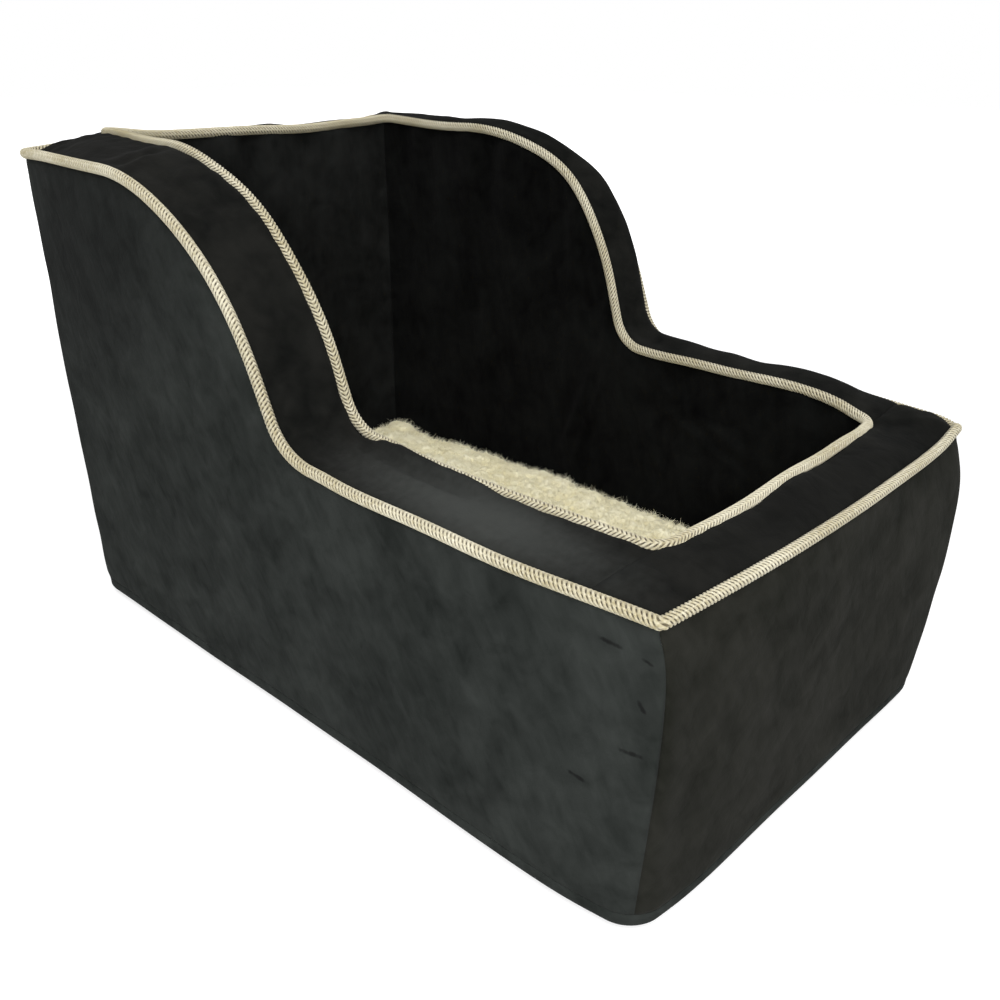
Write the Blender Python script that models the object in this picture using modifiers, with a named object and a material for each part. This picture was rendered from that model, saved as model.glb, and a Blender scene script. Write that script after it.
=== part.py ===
"""Dog car seat: a foam box with a low front and a high back, in a sewn suede cover.

Metres, +Z up. The low front end faces -Y and the back, which leans on the car's seat, faces +Y.
Left and right are the dog's own. The origin is on the ground under the middle of the seat.
"""
import math
from collections import namedtuple

import bmesh
import bpy
from mathutils import Vector

# Sewn cover, measured over the cloth
SEAT_LENGTH = 0.467
FRONT_WIDTH = 0.282
BACK_WIDTH = 0.291
SIDE_BOW = 0.009
FRONT_BOW = 0.007
FRONT_HEIGHT = 0.167
BACK_HEIGHT = 0.292

# Sweep of the long sides: its foot is measured from the back, its run from the foot to the crest
FOOT_SETBACK = 0.268
SIDE_RISE = 0.004
SWEEP_RUN = 0.160
FOOT_RADIUS = 0.030
FLANK_LENGTH = 0.022

# Walls, cloth and clearances
SIDE_WALL = 0.039
END_WALL = 0.030
COVER = 0.002
SEAM_GAP = 0.0003
BUTT_GAP = 0.0002
BASE_TOP = 0.036
RIM_RISE = 0.006
RIM_CROWN = 0.001
RIM_SEAM_SETBACK = 0.034
RIM_SEAM_PITCH = 0.004

# Shape of the outside below the rim: a belly in the front, and a straighter edge on the ground
BELLY_HEIGHT = 0.125
BELLY_REACH = 0.006
BELLY_FRONT_BOW = 0.003
BELLY_SIDE_BOW = 0.007
LOW_REACH = 0.005
LOW_FRONT_BOW = 0.0025
LOW_SIDE_BOW = 0.0005

# Corners in plan, and the turned-up edge of the bottom panel
FRONT_CORNER = 0.004
BELLY_CORNER = 0.006
LOW_CORNER = 0.018
BACK_CORNER = 0.010
CABIN_CORNER = 0.010
SHARP_CORNER = 0.0005
PAD_CORNER = 0.004
EDGE_RADIUS = 0.008
BOTTOM_SEAM = 0.012

# Piping cord
CORD_RADIUS = 0.00275

# Lift-out pad
PAD_CLEARANCE = 0.001
PAD_HEIGHT = 0.034
PAD_CROWN = 0.004
PAD_DRAW = 0.003
CROWN_WIDTH = 0.060
PILE = 0.009
BACKING = 0.0015

# Zip across the back, near the ground
TAPE_LOW = 0.022
TAPE_WIDTH = 0.024
TAPE_THICKNESS = 0.001
CHAIN_LENGTH = 0.220
CHAIN_WIDTH = 0.0045
CHAIN_THICKNESS = 0.0020
SLIDER_LENGTH = 0.0100
SLIDER_WALL = 0.0012
BRIDGE_BAR = 0.0010
EYE_RADIUS = 0.0010
EYE_WALL = 0.0007
EYE_CLEARANCE = 0.0005
PULL_LENGTH = 0.026

# Two webbing loops on the back, for the car's lap belt
LOOP_SPACING = 0.150
LOOP_WIDTH = 0.038
LOOP_MIDDLE = 0.150
LOOP_SLOT = 0.056
LOOP_SLOPE = 0.012
LOOP_SEWN_END = 0.020
LOOP_STANDOFF = 0.0062
WEBBING = 0.0016

# Fineness of the curves
CORNER_STEPS = 2
LOW_STEPS = 6
FOOT_STEPS = 5
SHOULDER_STEPS = 8
TOP_STEPS = 3
END_STEPS = 6
EDGE_STEPS = 3
PAD_STEPS = 4
EYE_STEPS = 14
RIM_SHARES = (0.0, 0.25, 0.5, 0.75, 1.0)

# Places that follow from the sizes
CORD_SEAT = CORD_RADIUS + SEAM_GAP
UNDER_COVER = COVER + SEAM_GAP
FLOOR_TOP = BASE_TOP + SEAM_GAP + COVER
PLATE_PROUD = SEAM_GAP * 2 + CHAIN_THICKNESS + SLIDER_WALL
BRIDGE_PROUD = PLATE_PROUD + EYE_CLEARANCE + EYE_WALL + EYE_RADIUS
BRIDGE_HEIGHT = BRIDGE_PROUD - PLATE_PROUD + BRIDGE_BAR / 2
PULL_PROUD = BRIDGE_PROUD + EYE_RADIUS + EYE_WALL
BACK_PROUD = max(LOOP_STANDOFF + WEBBING, PULL_PROUD)
MIDDLE_Y = (CORD_RADIUS - BACK_PROUD) / 2
FRONT_Y = MIDDLE_Y - SEAT_LENGTH / 2
BACK_Y = MIDDLE_Y + SEAT_LENGTH / 2
CORNER_Y = FRONT_Y + FRONT_BOW
SEAM_Y = CORNER_Y + RIM_SEAM_SETBACK
FOOT_Y = BACK_Y - FOOT_SETBACK
CREST_Y = FOOT_Y + SWEEP_RUN
FOOT_Z = FRONT_HEIGHT + SIDE_RISE
CHAIN_BACK = BACK_Y + SEAM_GAP
BRIDGE_Y = BACK_Y + BRIDGE_PROUD
ZIP_Z = TAPE_LOW + TAPE_WIDTH / 2
SLIDER_X = CHAIN_LENGTH / 2 - SLIDER_LENGTH / 2
SWEEP_HEIGHT = BACK_HEIGHT - FOOT_Z
BOTH_RADII = (SWEEP_HEIGHT ** 2 + SWEEP_RUN ** 2 - FLANK_LENGTH ** 2) / (2 * SWEEP_HEIGHT)
SHOULDER_RADIUS = BOTH_RADII - FOOT_RADIUS
SWEEP_ANGLE = math.atan2(
    SWEEP_RUN * BOTH_RADII - (BOTH_RADII - SWEEP_HEIGHT) * FLANK_LENGTH,
    SWEEP_RUN * FLANK_LENGTH + (BOTH_RADII - SWEEP_HEIGHT) * BOTH_RADII,
)

# A level is the plan of the outside at one height: how far the front reaches out past its corners
# at the rim, how far the front and the sides bow, and how round the front corners are.
Level = namedtuple("Level", "reach front_bow side_bow corner")
AT_RIM = Level(0, FRONT_BOW, SIDE_BOW, FRONT_CORNER)
AT_BELLY = Level(BELLY_REACH, BELLY_FRONT_BOW, BELLY_SIDE_BOW, BELLY_CORNER)
AT_GROUND = Level(LOW_REACH, LOW_FRONT_BOW, LOW_SIDE_BOW, LOW_CORNER)

# A layer is a skin or a foam face that runs all round the seat at one depth in the wall.
Layer = namedtuple("Layer", "side end front_corner back_corner reach front_bow side_bow hollow")

# A station is one upright line of the wall: a spot on a corner's arc, or on a straight run.
# Its height is given on the sweep only; on a straight run it follows from y.
Station = namedtuple("Station", "side end angle share y height lean")

# A rib crosses the wall from a station on the outer face to one on the cabin's face.
Rib = namedtuple("Rib", "outer inner")


def outer_layer(depth, level=AT_RIM):
    """A layer at a depth under the outer face, as the outside lies at that level."""
    front = max(level.corner - depth, SHARP_CORNER)
    back = max(BACK_CORNER - depth, SHARP_CORNER)
    return Layer(depth, depth, front, back, level.reach, level.front_bow, level.side_bow, 0)


def cabin_layer(inward, draw=0):
    """A layer inward from the cabin's face of the lining, or behind it where inward is negative."""
    corner = max(CABIN_CORNER - inward, PAD_CORNER)
    bows = (FRONT_BOW - draw, SIDE_BOW - draw)
    return Layer(SIDE_WALL + inward, END_WALL + inward, corner, corner, 0, *bows, draw)


def half_width(layer, y):
    """Half of the seat's width at y, inside the layer."""
    along = min(max((y - CORNER_Y) / (BACK_Y - CORNER_Y), 0), 1)
    corners = (FRONT_WIDTH + (BACK_WIDTH - FRONT_WIDTH) * along) / 2
    swell = layer.side_bow * (1 - (2 * along - 1) ** 2)
    return corners + swell - layer.side


def front_face(layer, x):
    """The front's y at x, inside the layer."""
    swell = layer.front_bow * (1 - (2 * x / FRONT_WIDTH) ** 2)
    return CORNER_Y - layer.reach - swell + layer.end


def back_face(layer, x):
    """The back's y at x, inside the layer: flat on the seat, drawn in on the pad."""
    return BACK_Y - layer.end - layer.hollow * (1 - (2 * x / BACK_WIDTH) ** 2)


def corner_centre(layer, end):
    """The middle of a corner's arc, on the +X side. end is -1 at the front and 1 at the back."""
    radius = layer.front_corner if end < 0 else layer.back_corner
    x, y = FRONT_WIDTH / 2, MIDDLE_Y
    for _ in range(4):
        y = front_face(layer, x) + radius if end < 0 else back_face(layer, x) - radius
        x = half_width(layer, y) - radius
    return x, y, radius


def plan(layer, station, shift=0):
    """The station's x and y in the layer; shift moves a spot on a long side along Y."""
    if station.angle is not None:
        x, y, radius = corner_centre(layer, station.end)
        turn = math.radians(station.angle)
        return station.side * (x + radius * math.cos(turn)), y + station.end * radius * math.sin(turn)
    if station.side == 0:
        reach = corner_centre(layer, station.end)[0]
        x = reach * station.share
        return x, front_face(layer, x) if station.end < 0 else back_face(layer, x)
    y = station.y
    if station.share is not None:
        tail = corner_centre(layer, station.end)[1]
        y += (tail - y) * station.share
    y += shift
    return station.side * half_width(layer, y), y


def run_height(end, y):
    """The height of the rim's outer edge on the straight run at an end."""
    if end > 0:
        return BACK_HEIGHT
    along = (y - CORNER_Y) / (FOOT_Y - CORNER_Y)
    return FRONT_HEIGHT + SIDE_RISE * min(max(along, 0), 1)


def on_rim(station, layer, rise):
    """A point at a height above the rim's line, square to it."""
    x, y = plan(layer, station, -math.sin(station.lean) * rise)
    height = run_height(station.end, y) if station.height is None else station.height
    return Vector((x, y, height + math.cos(station.lean) * rise))


def at_level(station, layer, z):
    """A point at a height above the ground."""
    x, y = plan(layer, station)
    return Vector((x, y, z))


def corner_stations(side, end, angles):
    return [Station(side, end, angle, None, 0, None, 0) for angle in angles]


def end_run(end):
    """The stations between the corners of the front or the back."""
    shares = [2 * step / END_STEPS - 1 for step in range(1, END_STEPS)]
    return [Station(0, end, None, share, 0, None, 0) for share in shares]


def end_stations(end):
    """The front or the back wall, from the middle of the -X corner to the middle of the +X one."""
    half = [45 + 45 * step / CORNER_STEPS for step in range(CORNER_STEPS + 1)]
    return corner_stations(-1, end, half) + end_run(end) + corner_stations(1, end, half[::-1])


def low_run(side, start=None):
    """The stations from a front corner to the sweep, all from one spot if start gives its y."""
    shares = [1 - step / LOW_STEPS for step in range(1, LOW_STEPS)]
    if start is None:
        return [Station(side, -1, None, share, FOOT_Y, None, 0) for share in shares]
    return [
        Station(side, -1, None, None, FOOT_Y + (start - FOOT_Y) * share, None, 0)
        for share in shares
    ]


def sweep_to_back(side):
    """The stations from the foot of the sweep to the middle of the back corner."""
    stations = []
    for step in range(FOOT_STEPS + 1):
        lean = SWEEP_ANGLE * step / FOOT_STEPS
        y = FOOT_Y + FOOT_RADIUS * math.sin(lean)
        height = FOOT_Z + FOOT_RADIUS * (1 - math.cos(lean))
        stations.append(Station(side, 0, None, None, y, height, lean))
    for step in range(SHOULDER_STEPS + 1):
        lean = SWEEP_ANGLE * (1 - step / SHOULDER_STEPS)
        y = CREST_Y - SHOULDER_RADIUS * math.sin(lean)
        height = BACK_HEIGHT - SHOULDER_RADIUS * (1 - math.cos(lean))
        stations.append(Station(side, 0, None, None, y, height, lean))
    for step in range(1, TOP_STEPS):
        stations.append(Station(side, 1, None, step / TOP_STEPS, CREST_Y, None, 0))
    return stations + corner_stations(side, 1, CORNER_HALF)


def side_stations(side):
    """A long side, from the middle of its front corner to the middle of its back corner."""
    return corner_stations(side, -1, CORNER_HALF[::-1]) + low_run(side) + sweep_to_back(side)


def pad_side(side):
    """A long side of the pad, which has no sweep to follow."""
    to_middle = [1 - step / PAD_STEPS for step in range(1, PAD_STEPS + 1)]
    run = [Station(side, -1, None, share, MIDDLE_Y, None, 0) for share in to_middle]
    run += [Station(side, 1, None, share, MIDDLE_Y, None, 0) for share in to_middle[-2::-1]]
    front, back = CORNER_HALF[::-1], CORNER_HALF
    return corner_stations(side, -1, front) + run + corner_stations(side, 1, back)


def same(stations):
    return [Rib(station, station) for station in stations]


def side_ribs(side):
    """A side's ribs, from the seam behind its front corner to the middle of its back corner."""
    inner = corner_stations(side, -1, CORNER_HALF[::-1])
    outer = [
        Station(side, -1, None, None, SEAM_Y + RIM_SEAM_PITCH * step, None, 0)
        for step in range(len(inner))
    ]
    inner += low_run(side)
    outer += low_run(side, outer[-1].y)
    return [Rib(*pair) for pair in zip(outer, inner)] + same(sweep_to_back(side))


def front_corner_ribs(side):
    """The ribs round a front corner, from the seam on the side to the start of the front."""
    seam = Station(side, -1, None, None, SEAM_Y, None, 0)
    outer = [seam] + corner_stations(side, -1, (0, 45, 90))
    inner = corner_stations(side, -1, (45, 56.25, 67.5, 90))
    return [Rib(*pair) for pair in zip(outer, inner)]


CORNER_HALF = [45 * step / CORNER_STEPS for step in range(CORNER_STEPS + 1)]
PANELS = {
    "front": end_stations(-1),
    "left": side_stations(1),
    "back": end_stations(1),
    "right": side_stations(-1),
}
WALLS = {
    "front": front_corner_ribs(-1) + same(end_run(-1)) + front_corner_ribs(1)[::-1],
    "left": side_ribs(1),
    "back": same(end_stations(1)),
    "right": side_ribs(-1),
}
ALL_ROUND = (
    PANELS["front"][:-1] + PANELS["left"][:-1] + PANELS["back"][:0:-1] + PANELS["right"][:0:-1]
)
PAD_ROUND = (
    PANELS["front"][:-1] + pad_side(1)[:-1] + PANELS["back"][:0:-1] + pad_side(-1)[:0:-1]
)


def clear_scene():
    for item in list(bpy.data.objects):
        bpy.data.objects.remove(item, do_unlink=True)


def new_collection(name):
    collection = bpy.data.collections.new(name)
    bpy.context.scene.collection.children.link(collection)
    return collection


def hex_to_linear(code):
    """An sRGB colour such as "1F2022" as linear red, green, blue and alpha."""
    values = [int(code[i:i + 2], 16) / 255 for i in (0, 2, 4)]
    linear = [v / 12.92 if v <= 0.04045 else ((v + 0.055) / 1.055) ** 2.4 for v in values]
    return (*linear, 1)


def material(name, code, roughness, metallic=0):
    made = bpy.data.materials.new(name)
    made.use_nodes = True
    shader = made.node_tree.nodes["Principled BSDF"]
    shader.inputs["Base Color"].default_value = hex_to_linear(code)
    shader.inputs["Roughness"].default_value = roughness
    shader.inputs["Metallic"].default_value = metallic
    return made


def add_object(name, data, finish):
    """Links new data as the sub-part of that name."""
    made = bpy.data.objects.new(name, data)
    made.data.materials.append(finish)
    PARTS.objects.link(made)
    return made


def close_end(bm, ring):
    """Caps a ring with triangles from side to side, the same on both sides of a seam."""
    low, high = 0, len(ring) - 1
    while high - low > 1:
        bm.faces.new((ring[low], ring[low + 1], ring[high]))
        if high - low > 2:
            bm.faces.new((ring[low + 1], ring[high - 1], ring[high]))
        low, high = low + 1, high - 1


def solid_mesh(name, sections, seams=False):
    """A closed mesh through rings of points, with flat caps or, at seams, with fitted ones.

    A wall's twisted faces are all split upwards to the next section, so that a panel and the
    foam behind it keep their clearance.
    """
    bm = bmesh.new()
    rings = [[bm.verts.new(point) for point in section] for section in sections]
    for ring, following in zip(rings, rings[1:]):
        for i, corner in enumerate(ring):
            beside = (i + 1) % len(ring)
            face = (corner, ring[beside], following[beside], following[i])
            if not seams:
                bm.faces.new(face)
                continue
            if corner.co.z > ring[beside].co.z:
                face = face[1:] + face[:1]
            bm.faces.new(face[:3])
            bm.faces.new((face[0], face[2], face[3]))
    for ring in (rings[0], rings[-1]):
        if seams:
            close_end(bm, ring)
        else:
            bm.faces.new(ring)
    bmesh.ops.recalc_face_normals(bm, faces=bm.faces)
    mesh = bpy.data.meshes.new(name)
    bm.to_mesh(mesh)
    bm.free()
    return mesh


def flat_outline(name, points, thickness):
    """A 2D curve round the points, drawn out by half the thickness to each side."""
    curve = bpy.data.curves.new(name, "CURVE")
    curve.dimensions = "2D"
    curve.fill_mode = "BOTH"
    curve.extrude = thickness / 2
    spline = curve.splines.new("POLY")
    spline.points.add(len(points) - 1)
    for spot, point in zip(spline.points, points):
        spot.co = (point[0], point[1], 0, 1)
    spline.use_cyclic_u = True
    return curve


def as_mesh(made):
    """Turns a curve object into a mesh with welded caps, so that it can take a Boolean."""
    bpy.context.view_layer.update()
    evaluated = made.evaluated_get(bpy.context.evaluated_depsgraph_get())
    mesh = bpy.data.meshes.new_from_object(evaluated)
    bm = bmesh.new()
    bm.from_mesh(mesh)
    bmesh.ops.remove_doubles(bm, verts=bm.verts, dist=SEAM_GAP / 10)
    bm.to_mesh(mesh)
    bm.free()
    solid = bpy.data.objects.new(made.name + "_solid", mesh)
    for collection in made.users_collection:
        collection.objects.link(solid)
    solid.matrix_world = made.matrix_world
    name = made.name
    bpy.data.objects.remove(made, do_unlink=True)
    solid.name = name
    return solid


def drawn_back(ring, following):
    """The ring moved towards the next one, to leave a seam's clearance at a panel's end."""
    moved = []
    for point, beyond in zip(ring, following):
        step = beyond - point
        moved.append(point + step * min(BUTT_GAP / step.length, 0.5))
    return moved


def wall_piece(name, places, section, finish):
    """A panel, lining or foam wall: a section swept from one seam to the next."""
    sections = [section(place) for place in places]
    first = drawn_back(sections[0], sections[1])
    last = drawn_back(sections[-1], sections[-2])
    mesh = solid_mesh(name, [first] + sections[1:-1] + [last], seams=True)
    return add_object(name, mesh, finish)


def slab(name, stations, rings, finish):
    """A solid stacked up from outlines that run all round: each ring is a layer and a height."""
    sections = [[at_level(station, layer, z) for station in stations] for layer, z in rings]
    return add_object(name, solid_mesh(name, sections), finish)


def flat_sheet(name, stations, layer, low, high, finish):
    """A flat piece that fills a layer's outline between two heights."""
    outline = [plan(layer, station) for station in stations]
    made = add_object(name, flat_outline(name, outline, high - low), finish)
    made.location.z = (low + high) / 2


def rim_rise(share):
    """The crowned rim's height over the outer edge's line, a share of the way in."""
    return RIM_RISE * share + RIM_CROWN * 4 * share * (1 - share)


def across_rim(rib, share, below):
    """A point a share of the way across the rim, some way below its surface."""
    rise = rim_rise(share) - below
    outside = on_rim(rib.outer, outer_layer(CORD_SEAT), rise)
    inside = on_rim(rib.inner, cabin_layer(-CORD_SEAT), rise)
    return outside.lerp(inside, share)


def cover_section(low):
    """An outer panel from low, over the belly, up to the outer piping."""
    def section(station):
        faces = [
            [
                at_level(station, outer_layer(depth, AT_GROUND), low),
                at_level(station, outer_layer(depth, AT_BELLY), BELLY_HEIGHT),
                on_rim(station, outer_layer(depth), -CORD_SEAT),
            ]
            for depth in (0, COVER)
        ]
        return faces[0] + faces[1][::-1]
    return section


def hem_section(station):
    """The strip of the back panel under the zip."""
    faces = [
        [at_level(station, outer_layer(depth, AT_GROUND), z) for z in (BOTTOM_SEAM, TAPE_LOW)]
        for depth in (0, COVER)
    ]
    return faces[0] + faces[1][::-1]


def rim_section(rib):
    over = [across_rim(rib, share, 0) for share in RIM_SHARES]
    under = [across_rim(rib, share, COVER) for share in reversed(RIM_SHARES)]
    return over + under


def lining_section(station):
    top = [on_rim(station, cabin_layer(inward), RIM_RISE - CORD_SEAT) for inward in (0, -COVER)]
    foot = [at_level(station, cabin_layer(inward), BASE_TOP + SEAM_GAP) for inward in (0, -COVER)]
    return [foot[0], top[0], top[1], foot[1]]


def rounded_edge(depth):
    """The turn from the bottom to the side at a depth in the wall, as insets and heights."""
    radius = EDGE_RADIUS - depth
    turns = [math.pi / 2 * step / EDGE_STEPS for step in range(EDGE_STEPS + 1)]
    return [
        (depth + radius * (1 - math.sin(turn)), depth + radius * (1 - math.cos(turn)))
        for turn in turns
    ]


def foam_section(rib):
    skin = UNDER_COVER
    low = rounded_edge(skin) + [(skin, BOTTOM_SEAM)]
    ring = [at_level(rib.outer, outer_layer(inset, AT_GROUND), z) for inset, z in low]
    ring.append(at_level(rib.outer, outer_layer(skin, AT_BELLY), BELLY_HEIGHT))
    ring.append(on_rim(rib.outer, outer_layer(skin), -CORD_SEAT))
    ring += [across_rim(rib, share, skin) for share in RIM_SHARES]
    ring.append(on_rim(rib.inner, cabin_layer(-skin), RIM_RISE - CORD_SEAT))
    ring.append(at_level(rib.inner, cabin_layer(-skin), skin))
    return ring


def tape_section(station):
    edges = (TAPE_LOW + SEAM_GAP, TAPE_LOW + TAPE_WIDTH - SEAM_GAP)
    outer = [at_level(station, outer_layer(0, AT_GROUND), z) for z in edges]
    behind = outer_layer(TAPE_THICKNESS, AT_GROUND)
    return outer + [at_level(station, behind, z) for z in reversed(edges)]


def make_bottom(finish):
    seam = BOTTOM_SEAM - SEAM_GAP
    profile = rounded_edge(0) + [(0, seam), (COVER, seam)] + rounded_edge(COVER)[::-1]
    rings = [(outer_layer(inset, AT_GROUND), z) for inset, z in profile]
    slab("cover_bottom", ALL_ROUND, rings, finish)


def make_walls(suede, lining, foam):
    for side, stations in PANELS.items():
        low = TAPE_LOW + TAPE_WIDTH if side == "back" else BOTTOM_SEAM
        wall_piece("cover_" + side, stations, cover_section(low), suede)
        wall_piece("lining_" + side, stations, lining_section, lining)
        wall_piece("rim_" + side, WALLS[side], rim_section, suede)
        wall_piece("foam_" + side, WALLS[side], foam_section, foam)
    wall_piece("cover_back_hem", PANELS["back"], hem_section, suede)


def make_floor(lining, foam):
    edge = cabin_layer(-COVER)
    flat_sheet("foam_base", ALL_ROUND, edge, UNDER_COVER, BASE_TOP, foam)
    edge = cabin_layer(SEAM_GAP)
    flat_sheet("lining_floor", ALL_ROUND, edge, BASE_TOP + SEAM_GAP, FLOOR_TOP, lining)


def make_piping(name, layer, rise, finish):
    """One loop of round cord along an edge of the rim."""
    curve = bpy.data.curves.new(name, "CURVE")
    curve.dimensions = "3D"
    curve.bevel_depth = CORD_RADIUS
    curve.bevel_resolution = 2
    spline = curve.splines.new("POLY")
    spline.points.add(len(ALL_ROUND) - 1)
    for spot, station in zip(spline.points, ALL_ROUND):
        spot.co = (*on_rim(station, layer, rise), 1)
    spline.use_cyclic_u = True
    add_object(name, curve, finish)


def dome(inset, foot, height, crown):
    """Rings of a pad's swollen side and crowned top, from its foot up to its middle."""
    edge_shares = ((0.2, 0), (0, 0.4), (0.15, 0.7), (0.6, 0.9), (1.6, 1.0))
    rings = [(inset + PILE * out, foot + height * up) for out, up in edge_shares]
    crown_shares = ((0.25, 0.45), (0.6, 0.85), (1.0, 1.0))
    edge = rings[-1][0]
    rings += [
        (edge + CROWN_WIDTH * out, foot + height + crown * up) for out, up in crown_shares
    ]
    return rings


def make_pad(fleece, foam, backing):
    gap = CORD_RADIUS + PAD_CLEARANCE
    foot = FLOOR_TOP + SEAM_GAP
    edge = cabin_layer(gap, PAD_DRAW)
    flat_sheet("pad_backing", PAD_ROUND, edge, foot, foot + BACKING, backing)
    foot += BACKING + SEAM_GAP
    core = dome(gap + PILE, foot, PAD_HEIGHT - PILE, PAD_CROWN)
    rings = [(cabin_layer(inset, PAD_DRAW), z) for inset, z in core]
    slab("pad_core", PAD_ROUND, rings, foam)
    hollow = [(inset - SEAM_GAP, z + (SEAM_GAP if z > foot else 0)) for inset, z in core]
    shell = hollow[::-1] + dome(gap, foot, PAD_HEIGHT, PAD_CROWN)
    rings = [(cabin_layer(inset, PAD_DRAW), z) for inset, z in shell]
    slab("pad_fleece", PAD_ROUND, rings, fleece)


def arc(radius, start, end, steps):
    """Points on an arc round the origin, from a start to an end angle in degrees."""
    turns = [math.radians(start + (end - start) * step / steps) for step in range(steps + 1)]
    return [(radius * math.cos(turn), radius * math.sin(turn)) for turn in turns]


def along_x(name, outline, length, place, finish):
    """A piece of constant section along X; the outline is out from the back and up, round place."""
    made = add_object(name, flat_outline(name, outline, length), finish)
    made.rotation_euler = (math.pi / 2, 0, math.pi / 2)
    made.location = place
    return made


def make_chain(teeth):
    half = CHAIN_WIDTH / 2
    bevel = CHAIN_THICKNESS / 3
    outline = [
        (0, -half), (CHAIN_THICKNESS - bevel, -half), (CHAIN_THICKNESS, bevel - half),
        (CHAIN_THICKNESS, half - bevel), (CHAIN_THICKNESS - bevel, half), (0, half),
    ]
    along_x("zip_chain", outline, CHAIN_LENGTH, (0, CHAIN_BACK, ZIP_Z), teeth)


def make_slider(metal):
    """A saddle over the chain, with a bridge on it for the pull; its origin is on the chain."""
    inner = CHAIN_WIDTH / 2 + SEAM_GAP
    outer = inner + SLIDER_WALL
    ceiling = CHAIN_THICKNESS + SEAM_GAP
    plate = ceiling + SLIDER_WALL
    outline = [
        (0, -outer), (plate, -outer), (plate, outer), (0, outer),
        (0, inner), (ceiling, inner), (ceiling, -inner), (0, -inner),
    ]
    place = (SLIDER_X, CHAIN_BACK, ZIP_Z)
    slider = as_mesh(along_x("zip_slider", outline, SLIDER_LENGTH, place, metal))

    end = SLIDER_LENGTH / 2
    leg = end - BRIDGE_BAR
    foot = plate - SLIDER_WALL / 2
    top = plate + BRIDGE_HEIGHT
    outline = [
        (-end, foot), (-end, top), (end, top), (end, foot),
        (leg, foot), (leg, top - BRIDGE_BAR), (-leg, top - BRIDGE_BAR), (-leg, foot),
    ]
    shape = bpy.data.objects.new("bridge_shape", flat_outline("bridge_shape", outline, BRIDGE_BAR))
    GUIDES.objects.link(shape)
    shape.location = place
    shape = as_mesh(shape)
    shape.hide_render = True
    shape.display_type = "WIRE"
    bridge = slider.modifiers.new("bridge", "BOOLEAN")
    bridge.operation = "UNION"
    bridge.object = shape
    return slider


def make_pull(slider, metal):
    """A flat pull whose top end is rolled round the slider's bridge; its origin is the bridge."""
    outside = EYE_RADIUS + EYE_WALL
    slit_low, slit_high = 285, 310
    tail = outside * math.cos(math.radians(slit_low))
    outline = arc(outside, slit_high - 360, 540 - slit_low, EYE_STEPS)
    outline += [(-tail, -PULL_LENGTH), (tail, -PULL_LENGTH), arc(outside, slit_low, 0, 1)[0]]
    outline += arc(EYE_RADIUS, slit_low, slit_high - 360, EYE_STEPS)
    width = SLIDER_LENGTH - (BRIDGE_BAR + EYE_CLEARANCE) * 2
    place = (SLIDER_X, BRIDGE_Y, ZIP_Z)
    pull = along_x("zip_pull", outline, width, place, metal)
    bpy.context.view_layer.update()
    pull.parent = slider
    pull.matrix_parent_inverse = slider.matrix_world.inverted()


def make_belt_loops(webbing):
    """Webbing strips, sewn flat at both ends, that stand off the back between them."""
    sewn = BACK_Y + SEAM_GAP
    proud = BACK_Y + LOOP_STANDOFF
    half = LOOP_SLOT / 2
    ends = half + LOOP_SLOPE
    side = [
        (sewn, -ends - LOOP_SEWN_END), (sewn, -ends), (proud, -half),
        (proud, half), (sewn, ends), (sewn, ends + LOOP_SEWN_END),
    ]
    for name, sign in (("belt_loop_left", 1), ("belt_loop_right", -1)):
        bm = bmesh.new()
        middle = sign * LOOP_SPACING / 2
        edges = [
            [bm.verts.new((middle + reach, y, LOOP_MIDDLE + z)) for y, z in side]
            for reach in (-LOOP_WIDTH / 2, LOOP_WIDTH / 2)
        ]
        for i in range(len(side) - 1):
            bm.faces.new((edges[0][i], edges[0][i + 1], edges[1][i + 1], edges[1][i]))
        mesh = bpy.data.meshes.new(name)
        bm.to_mesh(mesh)
        bm.free()
        strip = add_object(name, mesh, webbing)
        shell = strip.modifiers.new("webbing", "SOLIDIFY")
        shell.thickness = WEBBING
        shell.offset = 1
        shell.use_even_offset = True


clear_scene()
PARTS = new_collection("dog_car_seat")
GUIDES = new_collection("guides")

SUEDE = material("microsuede", "1B1C1D", 0.9)
LINING = material("suede_lining", "131414", 0.95)
FOAM = material("upholstery_foam", "D9D4C3", 0.95)
CORD = material("braided_cord", "C9BE97", 0.75)
FLEECE = material("sherpa_fleece", "E9DFC6", 1.0)
BACKING_CLOTH = material("pad_backing_cloth", "D8D0BC", 0.9)
TAPE_CLOTH = material("zip_tape_cloth", "151515", 0.85)
TEETH = material("nylon_teeth", "1A1A1A", 0.45)
ZIP_METAL = material("zip_metal", "3A3A3C", 0.4, 1)
STRAP = material("polyester_webbing", "161616", 0.7)

make_bottom(SUEDE)
make_walls(SUEDE, LINING, FOAM)
make_floor(LINING, FOAM)
make_piping("piping_outer", outer_layer(0), 0, CORD)
make_piping("piping_inner", cabin_layer(0), RIM_RISE, CORD)
make_pad(FLEECE, FOAM, BACKING_CLOTH)
wall_piece("zip_tape", PANELS["back"], tape_section, TAPE_CLOTH)
make_chain(TEETH)
make_pull(make_slider(ZIP_METAL), ZIP_METAL)
make_belt_loops(STRAP)
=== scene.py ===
"""Looks of the dog car seat: sewn suede over foam, braided piping and a lift-out sherpa pad.

Metres, +Z up, in the solids' own frame: the low front end faces -Y, and the back faces +Y.
"""

import math
import random
from collections import namedtuple

import bmesh
import bpy
import numpy as np
from mathutils import Matrix, Vector, noise


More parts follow.
